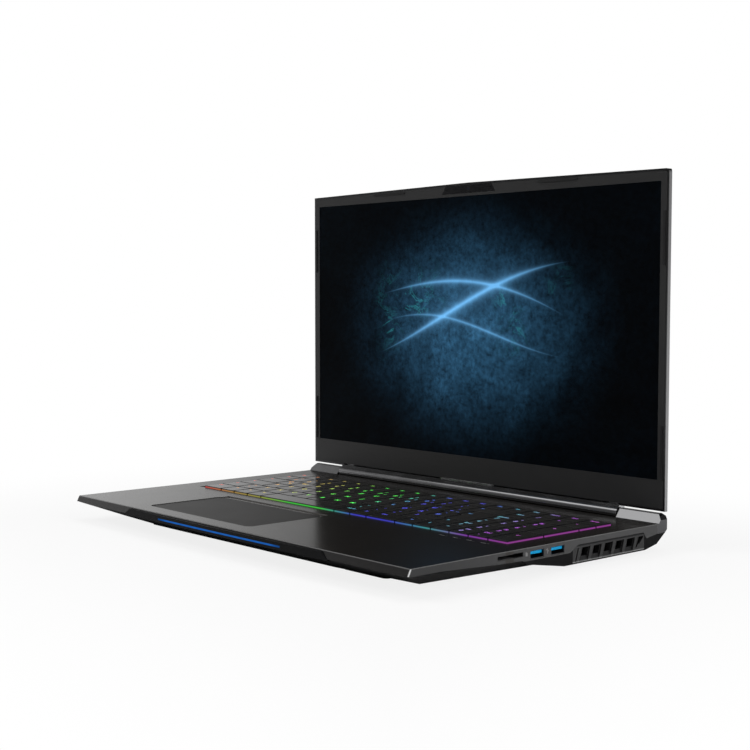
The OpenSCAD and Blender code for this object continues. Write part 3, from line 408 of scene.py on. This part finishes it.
def screen_material():
    """The panel: black border, and a lit picture of drifting light over dark blue stone."""
    t = Tree("screen")
    x, _, z = t.xyz()
    u = t.m("DIVIDE", x, PANEL_HALF[0] * MM)
    v = t.m("DIVIDE", t.m("SUBTRACT", z, z_at(PANEL_MID_Z)), PANEL_HALF[1] * MM)
    lit = t.m("MULTIPLY", t.m("LESS_THAN", t.m("ABSOLUTE", u), 1.0),
              t.m("LESS_THAN", t.m("ABSOLUTE", v), 1.0))
    rock = stone(t, x, z)
    reach = t.m("SQRT", t.m("ADD", t.m("POWER", t.m("MULTIPLY", u, 1.18), 2), t.m("POWER", v, 2)))
    vignette = t.m("POWER", t.ramp(reach, 1.15, 0.0, 0.0, 1.0, "SMOOTHSTEP"), 1.6)
    picture = t.mix(1.0, t.mix(vignette, SCREEN_EDGE, SCREEN_MIDDLE),
                    t.add("CombineColor", {0: rock, 1: rock, 2: rock}).outputs[0], "MULTIPLY")
    picture = t.mix(1.0, picture, t.mix(ribbons(t, u, v), (0, 0, 0), RIBBON_BLUE), "ADD")
    picture = t.mix(1.0, picture, t.mix(smoke(t, u, v), (0, 0, 0), SMOKE_CYAN), "ADD")
    return t.surface({"Base Color": (0.0015, 0.0015, 0.0017), "Roughness": 0.35, "Specular IOR Level": 0.012,
                      "Emission Color": picture, "Emission Strength": lit})


def board_material():
    """Green board with lighter tracks. What stands on it is dark."""
    t = Tree("circuit_board")
    raised = t.ramp(t.xyz()[2], z_at(BOARD_TOP - 0.02), z_at(BOARD_TOP + 0.02))
    tracks = t.add("TexVoronoi", {"Vector": t.scaled((1, 1, 0)), "Scale": 260}, feature="F1",
                   distance="MANHATTAN").outputs["Distance"]
    mask = t.ramp(tracks, 0.35, 0.4)
    green = t.mix(mask, (0.012, 0.09, 0.045), (0.03, 0.16, 0.08))
    return t.surface({"Base Color": t.mix(raised, green, (0.02, 0.02, 0.022)),
                      "Roughness": t.ramp(t.noise(300), 0.3, 0.7, 0.25, 0.4),
                      "Normal": t.bump(mask, 0.00003, 0.3)})


def rubber_material():
    t = Tree("rubber_black")
    fine = t.noise(1500, 4, 0.7)
    return t.surface({"Base Color": t.mix(fine, (0.012, 0.012, 0.012), (0.026, 0.026, 0.027)),
                      "Roughness": t.ramp(fine, 0.3, 0.7, 0.62, 0.78), "Specular IOR Level": 0.25,
                      "Normal": t.bump(fine, 0.00005, 0.6)})


def lens_material():
    """Dark blue glass in a grey ring."""
    t = Tree("camera_glass")
    x, _, z = t.xyz()
    up = t.m("SUBTRACT", z, z_at(WEBCAM_Z))
    r = t.m("SQRT", t.m("ADD", t.m("POWER", x, 2), t.m("POWER", up, 2)))
    ring = t.ramp(r, 0.0007, 0.0010)
    return t.surface({"Base Color": t.mix(ring, (0.004, 0.006, 0.02), (0.02, 0.02, 0.022)),
                      "Roughness": t.ramp(t.noise(400), 0.3, 0.7, 0.03, 0.08), "Coat Weight": 1.0})


def lid_material():
    """Dark drawn metal with a painted highlight close to its edges, cut bright along the lid's left and right
    edges.
    """
    t = Tree("lid_metal")
    lines = t.noise(1.0, 3, 0.6, t.scaled((40, 3000, 3000)))
    rim = t.ramp(t.m("ABSOLUTE", t.xyz()[0]), (LID_EDGE - 0.5) * MM, (LID_EDGE - 0.3) * MM)
    mask, rounded = t.edge(0.0003)
    skin = t.mix(lines, (0.050, 0.050, 0.052), (0.062, 0.062, 0.064))
    # Painted highlight: lighter close to the edges.
    skin = t.mix(t.m("MULTIPLY", mask, 0.5), skin, (0.14, 0.14, 0.14))
    cut = t.mix(lines, (0.26, 0.26, 0.265), (0.32, 0.32, 0.325))
    return t.surface({"Base Color": t.mix(rim, skin, cut), "Metallic": 1.0,
                      "Roughness": t.ramp(lines, 0.2, 0.8, 0.28, 0.36),
                      "Normal": t.bump(lines, 0.000004, 0.4, rounded)})


def cap_material():
    """Satin silver in front and on top, with painted shade on the outer ends and a painted highlight close to
    the edges.
    """
    t = Tree("cap_plastic")
    fine = t.noise(2400, 2, 0.5)
    cloud = t.noise(45, 3, 0.5)
    mask, rounded = t.edge(0.0002)
    silver = t.mix(cloud, (0.36, 0.36, 0.365), (0.42, 0.42, 0.425))
    # Painted shade: faces turned to the left or right are darker.
    tint = t.mix(t.ramp(t.m("ABSOLUTE", t.facing()[0]), 0.45, 0.7), silver, (0.11, 0.11, 0.115))
    # Painted highlight: lighter close to the edges.
    tint = t.mix(t.m("MULTIPLY", mask, 0.4), tint, (0.5, 0.5, 0.5))
    return t.surface({"Base Color": tint, "Metallic": 1.0, "Roughness": t.ramp(cloud, 0.25, 0.75, 0.14, 0.19),
                      "Normal": t.bump(fine, 0.000002, 0.3, rounded)})


def louvre_material():
    """Black plastic with painted shade deeper inside the vent, so the fins' outer faces read a little
    lighter, a painted highlight close to the edges, and a painted highlight along the lower lip.
    """
    t = Tree("louvre_plastic")
    fine = t.noise(2600, 3, 0.6)
    cloud = t.noise(45, 3, 0.5)
    x, _, z = t.xyz()
    # Painted shade: darker deeper inside the vent than on the fins' outer faces.
    outer = t.ramp(t.m("ABSOLUTE", x), (HALF_W - 1.0) * MM, (HALF_W - 0.3) * MM)
    mask, rounded = t.edge(0.0003)
    tint = t.mix(outer, (0.010, 0.010, 0.0105), t.mix(cloud, (0.026, 0.026, 0.027), (0.034, 0.034, 0.035)))
    # Painted highlight: lighter close to the edges.
    tint = t.mix(t.m("MULTIPLY", mask, 0.6), tint, (0.07, 0.07, 0.07))
    # Painted highlight along the lower lip.
    lip_highlight = t.m("MULTIPLY", outer, t.ramp(z, z_at(-15.2), z_at(-15.5)))
    return t.surface({"Base Color": t.mix(lip_highlight, tint, (0.22, 0.22, 0.22)), "Specular IOR Level": 0.3,
                      "Roughness": t.ramp(cloud, 0.25, 0.75, 0.42, 0.5),
                      "Normal": t.bump(fine, 0.00002, 0.4, rounded)})


def reader_material():
    """The card slot is grey over most of its width."""
    t = Tree("card_slot")
    fine = t.noise(1800, 3, 0.6)
    grey_band = t.band(t.xyz()[1], y_at(75.9), y_at(76.3), y_at(91.0), y_at(91.4))
    return t.surface({"Base Color": t.mix(grey_band, (0.006, 0.006, 0.0065), (0.055, 0.055, 0.056)),
                      "Roughness": t.ramp(fine, 0.3, 0.7, 0.45, 0.55), "Specular IOR Level": 0.2,
                      "Normal": t.bump(fine, 0.00001, 0.4)})


MATERIALS = {
    "black_plastic": moulded("black_plastic", (0.006, 0.006, 0.0065), 0.5, 0.08),
    "deck_metal": moulded("deck_metal", (0.0152, 0.0136, 0.0120), 0.20, 0.24, 3600, 0.000006, 0.0003, 3.0,
                          0.05, 0.012, deck_painted_light_and_signs),
    "cap_plastic": cap_material(),
    "light_blue": light_bar_material(),
    # Near black: painted shade for the gaps between the keys, where the plate shows.
    "plate_steel": moulded("plate_steel", (0.003, 0.003, 0.0035), 0.6, 0.05),
    "light_guide": guide_material(),
    "white_plastic": moulded("white_plastic", (0.55, 0.55, 0.53), 0.5, 0.4, edge=0),
    "circuit_board": board_material(),
    "battery_film": moulded("battery_film", (0.012, 0.012, 0.014), 0.32, 0.4, 900, 0.00004, 0),
    "fan_plastic": moulded("fan_plastic", (0.018, 0.018, 0.019), 0.5, 0.35, edge=0),
    "copper": metal("copper", (0.72, 0.36, 0.20), 0.32),
    # Near black fin stacks: painted shade deep in the vents.
    "fin_black": moulded("fin_black", (0.008, 0.008, 0.009), 0.45, 0.3, edge=0.0002, edge_highlight=3.0),
    "port_metal": metal("port_metal", (0.12, 0.12, 0.125), 0.4, (3000, 40, 3000)),
    "tongue_blue": moulded("tongue_blue", (0.0, 0.36, 0.72), 0.5, 0.2, 2600, 0.00002, 0),
    "dark_port": moulded("dark_port", (0.015, 0.015, 0.016), 0.5, 0.3, edge=0),
    "rubber_black": rubber_material(),
    "screw_steel": metal("screw_steel", (0.10, 0.10, 0.11), 0.34, (2000, 2000, 2000)),
    "hinge_steel": metal("hinge_steel", (0.45, 0.45, 0.46), 0.3),
    "touchpad_film": moulded("touchpad_film", (0.0095, 0.009, 0.0085), 0.30, 0.02, 4200, 0.000006, 0.0003,
                             2.5, 0.05, 0.012),
    "button_metal": moulded("button_metal", (0.010, 0.010, 0.0105), 0.24, 0.25, uneven=0.015),
    "lid_metal": lid_material(),
    "bezel_plastic": moulded("bezel_plastic", (0.030, 0.030, 0.0305), 0.45, 0.22, 2400, 0.00002, 0.0002,
                             1.9, 0.06),
    "screen": screen_material(),
    "camera_window": moulded("camera_window", (0.008, 0.008, 0.009), 0.15, 0.5, 600, 0.000002, 0),
    "camera_glass": lens_material(),
    "barrel_metal": metal("barrel_metal", (0.45, 0.45, 0.46), 0.13, (40, 3000, 3000), 0.000003, 0.0002, 1.5),
    "key_plastic": key_material(),
}

# Nodes that look different from the rest of their slot
OWN = {"card_reader": reader_material(), "vent_louvres_left": louvre_material()}
OWN["vent_louvres_right"] = OWN["vent_louvres_left"]

for row in frame["record"]["subparts"]:
    piece = nodes[row["node"]]
    piece.data.materials.clear()
    piece.data.materials.append(OWN.get(row["node"], MATERIALS[row["material_slot"]]))

# ---------------------------------------------------------------- key legends

# Key widths of each row from the front, in units of KEY_U
ROWS = [[1.3, 1, 1, 1, 5, 1, 1, 1.7, 1, 1, 1, 1, 1],
        [1.25] + [1] * 11 + [1.75, 1, 1, 1, 1],
        [1.75] + [1] * 12 + [1.25, 1, 1, 1],
        [1.5] + [1] * 12 + [1.5, 1, 1, 1],
        [1] * 13 + [2] + [1] * 4,
        [1] * 19]
# A legend is main|upper|right. A tilde starts the name of a drawn sign, such as an arrow.
LEGENDS = [
    ["Ctrl", "Fn", "~home", "Alt", "", "Alt Gr", "~menu", "Ctrl", "~<", "~v", "~>", "0|Ins", ".|Del"],
    ["~^^", "< | >||", "Y", "X", "C", "V", "B", "N", "M", ",|;", ".|:", "-|_", "~^^", "~^",
     "1|End", "2|~v", "3|Pg"],
    ["~lock", "A", "S", "D", "F", "G", "H", "J", "K", "L", "O|..", "A|..", "#|'", "", "4|~<", "5", "6|~>"],
    ["~tab", "Q||@", "W", "E", "R", "T", "Z", "U", "I", "O", "P", "U|..", "+|*|~", "~ent",
     "7|Home", "8|~^", "9|Pg"],
    ["^", "1|!", "2|\"", "3|$", "4|$", "5|%", "6|&", "7|/|{", "8|(|[", "9|)|]", "0|=|}", "?|?", "'|`", "~<",
     "Num", "/", "*", "-"],
    ["Esc"] + [f"F{i}" for i in range(1, 13)] + ["Prt", "Ins", "Del", "Home", "End", "Pause"]]
# Row, first and last key of the groups that lie in one row
GROUPS = {"escape_key": (5, 0, 0), "function_keys": (5, 1, 18), "number_keys": (4, 0, 12),
          "backspace_key": (4, 13, 13), "upper_letter_keys": (3, 0, 12), "home_letter_keys": (2, 0, 12),
          "lower_letter_keys": (1, 1, 11), "left_shift_key": (1, 0, 0), "right_shift_key": (1, 12, 12),
          "enter_key": (3, 13, 13)}
# Row and place of every key with a legend, by group
LISTS = {"modifier_keys": [(0, i) for i in (0, 1, 2, 3, 5, 6, 7)],
         "arrow_keys": [(0, 8), (0, 9), (0, 10), (1, 13)],
         "numpad_keys": [(0, 11), (0, 12)] + [(r, i) for r in (1, 2, 3) for i in (14, 15, 16)]
         + [(4, i) for i in (14, 15, 16, 17)]}
LISTS.update({name: [(r, i) for i in range(a, b + 1)] for name, (r, a, b) in GROUPS.items()})

ARROW = [(-0.5, -0.08), (0.02, -0.08), (0.02, -0.3), (0.5, 0), (0.02, 0.3), (0.02, 0.08), (-0.5, 0.08)]
BLOCK = [(-0.5, -0.32), (-0.1, -0.32), (-0.1, 0.32), (-0.5, 0.32)]
LINE = [(-0.5, -0.06), (0.5, -0.06), (0.5, 0.06), (-0.5, 0.06)]
TURNS = {"~>": 0, "~^": 90, "~<": 180, "~v": 270}
GLYPHS = {}


def turned(points, degrees, shift=(0, 0), grow=1.0):
    """A polygon turned about its middle, scaled and moved."""
    c, s = math.cos(math.radians(degrees)), math.sin(math.radians(degrees))
    return [((x * c - y * s) * grow + shift[0], (x * s + y * c) * grow + shift[1]) for x, y in points]


def symbol(name):
    """A small drawn sign as a list of polygons, about one unit wide."""
    if name in TURNS:
        return [turned(ARROW, TURNS[name])]
    if name == "~^^":
        return [turned(ARROW, 90), turned(LINE, 0, (0, -0.62), 0.7)]
    if name == "~tab":
        return [turned(ARROW, 0, (0.1, 0)), turned(LINE, 90, (0.72, 0), 0.7)]
    if name == "~ent":
        return [turned(ARROW, 180), turned(LINE, 90, (0.5, 0.28), 0.6)]
    if name == "~home":
        return [turned(BLOCK, 0, (0.28, 0), 0.8), turned(BLOCK, 0, (0.73, 0), 0.8)]
    if name == "~menu":
        return [turned(LINE, 0, (0, h), 0.9) for h in (-0.3, 0, 0.3)]
    if name == "~lock":
        return [turned(BLOCK, 90, (0, 0.1), 0.9), turned(LINE, 0, (0, 0.42), 0.6)]
    return [turned(LINE, 0)]


def glyph(text):
    """Vertices and faces of a word or sign at size 1, centred."""
    if text in GLYPHS:
        return GLYPHS[text]
    if text.startswith("~"):
        verts, faces = [], []
        for polygon in symbol(text):
            faces.append(tuple(range(len(verts), len(verts) + len(polygon))))
            verts += [(x, y, 0.0) for x, y in polygon]
    else:
        curve = bpy.data.curves.new("legend", "FONT")
        curve.body = text
        curve.align_x, curve.align_y = "CENTER", "CENTER"
        curve.resolution_u = 2
        curve.offset = 0.025
        obj = bpy.data.objects.new("legend", curve)
        scene.collection.objects.link(obj)
        bpy.context.view_layer.update()
        mesh = bpy.data.meshes.new_from_object(obj.evaluated_get(bpy.context.evaluated_depsgraph_get()))
        verts = [tuple(v.co) for v in mesh.vertices]
        faces = [tuple(p.vertices) for p in mesh.polygons]
        bpy.data.objects.remove(obj)
        bpy.data.curves.remove(curve)
        bpy.data.meshes.remove(mesh)
    GLYPHS[text] = (verts, faces)
    return GLYPHS[text]


def key_box(row, i):
    """Left and front edge of a key's cell, and its depth."""
    depth = ROW_U if row < len(ROWS) - 1 else FN_ROW_U
    return KEYS_X + KEY_U * sum(ROWS[row][:i]), KEYS_Y + ROW_U * row, depth


INK = 0.02      # printing stands this far proud of its surface
MAIN, WORD, SIGN_SIZE = 5.8, 3.4, 3.2           # heights of a letter, a word and a drawn sign
UPPER, UPPER_SIGN, RIGHT = 4.2, 2.8, 3.2        # heights of the marks above and at the right
MAIN_X, WORD_X, UPPER_X, RIGHT_X = 5.2, 6.6, 5.6, 12.6          # places from the cell's left edge
MAIN_Y, BELOW_Y, UPPER_Y, RIGHT_Y = 0.72, 0.40, 0.78, 0.34      # and from its front edge, in depths


def printed(name, verts, faces, ink, body):
    """Adds thin flat shapes as one piece that rides on a body."""
    mesh = bpy.data.meshes.new(name)
    mesh.from_pydata(verts, [], faces)
    mesh.validate()
    obj = bpy.data.objects.new(name, mesh)
    scene.collection.objects.link(obj)
    mesh.materials.append(ink)
    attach(obj, body)


def print_legends(name, marks, body):
    """One piece for all marks of a key group. A mark is text, x, y and height."""
    verts, faces = [], []
    for text, x, y, size in marks:
        points, polygons = glyph(text)
        start = len(verts)
        verts += [at(x + px * size, y + py * size, KEY_TOP + INK) for px, py, _ in points]
        faces += [tuple(start + k for k in p) for p in polygons]
    printed(name, verts, faces, legend_ink, body)


def key_marks(legend, x, y, depth):
    """The marks of one key whose cell starts at x and y."""
    main, upper, right = (legend.split("|") + ["", ""])[:3]
    sign = main.startswith("~")
    word = len(main) > 1 and not sign
    marks = []
    if main:
        size = WORD if word else SIGN_SIZE if sign else MAIN
        up = BELOW_Y if upper else MAIN_Y
        marks.append((main, x + (WORD_X if word else MAIN_X), y + depth * up, size))
    if upper.strip():
        size = UPPER_SIGN if upper.startswith("~") else UPPER
        marks.append((upper, x + UPPER_X, y + depth * UPPER_Y, size))
    if right.strip():
        marks.append((right, x + RIGHT_X, y + depth * RIGHT_Y, RIGHT))
    return marks


legend_ink = legend_material()
for group, members in LISTS.items():
    marks = []
    for row, i in members:
        x, y, depth = key_box(row, i)
        if group == "enter_key":
            y, depth = KEYS_Y + ROW_U * 2, ROW_U * 2
        marks += key_marks(LEGENDS[row][i], x, y, depth)
    if marks:
        print_legends("legends_" + group, marks, group)
print_legends("legends_numpad_plus_key", [("+", KEYS_X + 18.35 * KEY_U, KEYS_Y + ROW_U * 3.3, 5.2)],
              "numpad_plus_key")
print_legends("legends_numpad_enter_key", [("~ent", KEYS_X + 18.4 * KEY_U, KEYS_Y + ROW_U * 1.2, SIGN_SIZE)],
              "numpad_enter_key")

# ---------------------------------------------------------------- status dashes

STATUS_X, STATUS_Y, STATUS_STEP, STATUS_COUNT = 128.0, 95.5, 13.0, 4
DASH, TICK, TICK_X = 5.0, 1.6, 4.2      # length of a dash, of the short bar after it, and its place


def mark_material():
    t = Tree("printed_marks")
    speck = t.noise(1800, 2)
    return t.surface({"Base Color": t.mix(speck, (0.16, 0.16, 0.16), (0.24, 0.24, 0.24)), "Roughness": 0.5,
                      "Specular IOR Level": 0.2})


dashes = []
for i in range(STATUS_COUNT):
    x = STATUS_X + i * STATUS_STEP
    dashes.append(turned(LINE, 0, (x, STATUS_Y), DASH))
    dashes.append(turned(LINE, 90, (x + TICK_X, STATUS_Y), TICK))
corners = [at(px, py, INK) for polygon in dashes for px, py in polygon]
quads = [tuple(range(start, start + len(LINE))) for start in range(0, len(corners), len(LINE))]
printed("status_marks", corners, quads, mark_material(), "base")

# ---------------------------------------------------------------- floor

FLOOR_WHITE = 0.86
FLOOR_REACH = 40.0      # metres from the middle to each side
FLOOR_Z = -0.0002       # just below the feet


def white_floor():
    """Pale floor that keeps the object's shadow, and is white to the camera away from the object.
    The object's gloss sees it lit only at some distance, and dim in front."""
    t = Tree("floor")
    soft = t.noise(1.5, 2)
    pale = t.mix(soft, (FLOOR_WHITE,) * 3, (FLOOR_WHITE + 0.02,) * 3)
    diffuse = t.add("BsdfDiffuse", {"Color": pale}).outputs[0]
    lit = t.add("Emission", {"Color": (1, 1, 1), "Strength": 1.0}).outputs[0]
    path = t.add("LightPath").outputs
    seen = t.m("MAXIMUM", path["Is Camera Ray"], path["Is Transmission Ray"])
    x, y, _ = t.xyz()
    away = t.m("MAXIMUM", t.m("SUBTRACT", t.m("ABSOLUTE", x), cad_high[0]),
               t.m("SUBTRACT", t.m("ABSOLUTE", y), cad_high[1]))
    white = t.m("MULTIPLY", seen, t.ramp(away, 0.0, 0.30, 0.84, 1.0, "SMOOTHSTEP"))
    lit_floor = t.m("MULTIPLY", t.ramp(away, 0.03, 0.16), t.ramp(y, -0.35, -0.15, 0.2, 1.0))
    share = t.m("MAXIMUM", white, t.m("MULTIPLY", path["Is Glossy Ray"], lit_floor))
    mixed = t.add("MixShader", {0: share, 1: diffuse, 2: lit})
    t.links.new(mixed.outputs[0], t.out.inputs[0])
    return t.material


floor_mesh = bpy.data.meshes.new("floor")
floor_mesh.from_pydata([(-FLOOR_REACH, -FLOOR_REACH, FLOOR_Z), (FLOOR_REACH, -FLOOR_REACH, FLOOR_Z),
                        (FLOOR_REACH, FLOOR_REACH, FLOOR_Z), (-FLOOR_REACH, FLOOR_REACH, FLOOR_Z)],
                       [], [(0, 1, 2, 3)])
floor = bpy.data.objects.new("floor", floor_mesh)
scene.collection.objects.link(floor)
floor_mesh.materials.append(white_floor())

# ---------------------------------------------------------------- light

HIGH_PANEL = (-0.55, -0.39, 0.74)       # direction of the soft panel


def studio_world():
    """White to the camera. The object sees a low white wall at its left, a grey one at its right,
    one soft panel high up in front, and is dim elsewhere."""
    world = bpy.data.worlds.new("studio")
    scene.world = world
    world.use_nodes = True
    nodes, links = world.node_tree.nodes, world.node_tree.links
    nodes.clear()

    def add(kind, values, **settings):
        n = nodes.new("ShaderNode" + kind)
        for key, value in settings.items():
            setattr(n, key, value)
        for key, value in values.items():
            if isinstance(value, bpy.types.NodeSocket):
                links.new(value, n.inputs[key])
            else:
                n.inputs[key].default_value = value
        return n.outputs

    def fall(value, low, high, out_low, out_high):
        return add("MapRange", {"Value": value, "From Min": low, "From Max": high, "To Min": out_low,
                                "To Max": out_high}, interpolation_type="SMOOTHSTEP")[0]

    def m(op, a, b):
        return add("Math", {0: a, 1: b}, operation=op)[0]

    direction = add("TexCoord", {})["Generated"]
    x, y, z = add("SeparateXYZ", {0: direction})
    above = fall(z, 0.38, 0.70, 1.0, 0.12)
    left = fall(x, -0.89, -0.71, 1.0, 0.24)
    right = fall(x, 0.30, 0.70, 0.0, 0.7)
    ahead = fall(y, -0.70, -0.54, 0.32, 1.0)
    walls = m("MULTIPLY", m("MULTIPLY", above, ahead), m("MAXIMUM", left, right))
    toward = add("VectorMath", {0: direction, 1: HIGH_PANEL}, operation="DOT_PRODUCT")["Value"]
    level = m("MAXIMUM", walls, fall(toward, 0.968, 0.990, 0.0, 1.0))
    path = add("LightPath", {})
    seen = m("MAXIMUM", path["Is Camera Ray"], path["Is Transmission Ray"])
    strength = add("Mix", {0: seen, 2: level, 3: 1.0})[0]
    shown = add("Background", {0: (1, 1, 1, 1), 1: strength})[0]
    links.new(shown, nodes.new("ShaderNodeOutputWorld").inputs[0])


studio_world()


def aim(obj, place, back):
    """Puts a lamp or camera at a place. back points from what it looks at towards it."""
    obj.location = place
    obj.rotation_mode = "QUATERNION"
    obj.rotation_quaternion = (-back).to_track_quat("-Z", "Y")


def softbox(name, place, target, size, power):
    """A rectangular lamp that shows in no reflection."""
    lamp = bpy.data.lights.new(name, "AREA")
    lamp.shape = "RECTANGLE"
    lamp.size, lamp.size_y = size
    lamp.energy = power
    obj = bpy.data.objects.new(name, lamp)
    scene.collection.objects.link(obj)
    aim(obj, place, Vector(place) - Vector(target))
    obj.visible_glossy = False


softbox("key_light", (-1.2, -1.6, 1.9), (0, 0, 0.1), (1.6, 1.0), 26)
softbox("side_light", (2.2, 0.2, 1.0), (0.1, 0, 0.08), (1.2, 1.4), 20)
softbox("top_light", (0, 0.3, 2.4), (0, 0, 0), (2.0, 1.4), 20)

# ---------------------------------------------------------------- camera, at the photograph's angle

AZIMUTH, ELEVATION, ROLL = (math.radians(degrees) for degrees in (49.455, 3.754, -0.070))
CAMERA_PLACE = (0.77943, -0.67915, 0.18445)
LENS, SHIFT = 64.83, (0.04496, 0.01081)         # focal length on a sensor 36 mm wide

camera = bpy.data.objects.new("camera", bpy.data.cameras.new("camera"))
scene.collection.objects.link(camera)
aim(camera, CAMERA_PLACE, Vector((math.sin(AZIMUTH) * math.cos(ELEVATION),
                                  -math.cos(AZIMUTH) * math.cos(ELEVATION), math.sin(ELEVATION))))
camera.rotation_quaternion = camera.rotation_quaternion @ Matrix.Rotation(ROLL, 4, "Z").to_quaternion()
camera.data.sensor_width = 36.0
camera.data.lens = LENS
camera.data.shift_x, camera.data.shift_y = SHIFT
camera.data.clip_start, camera.data.clip_end = 0.02, 200.0
scene.camera = camera
scene.view_settings.view_transform = "Standard"
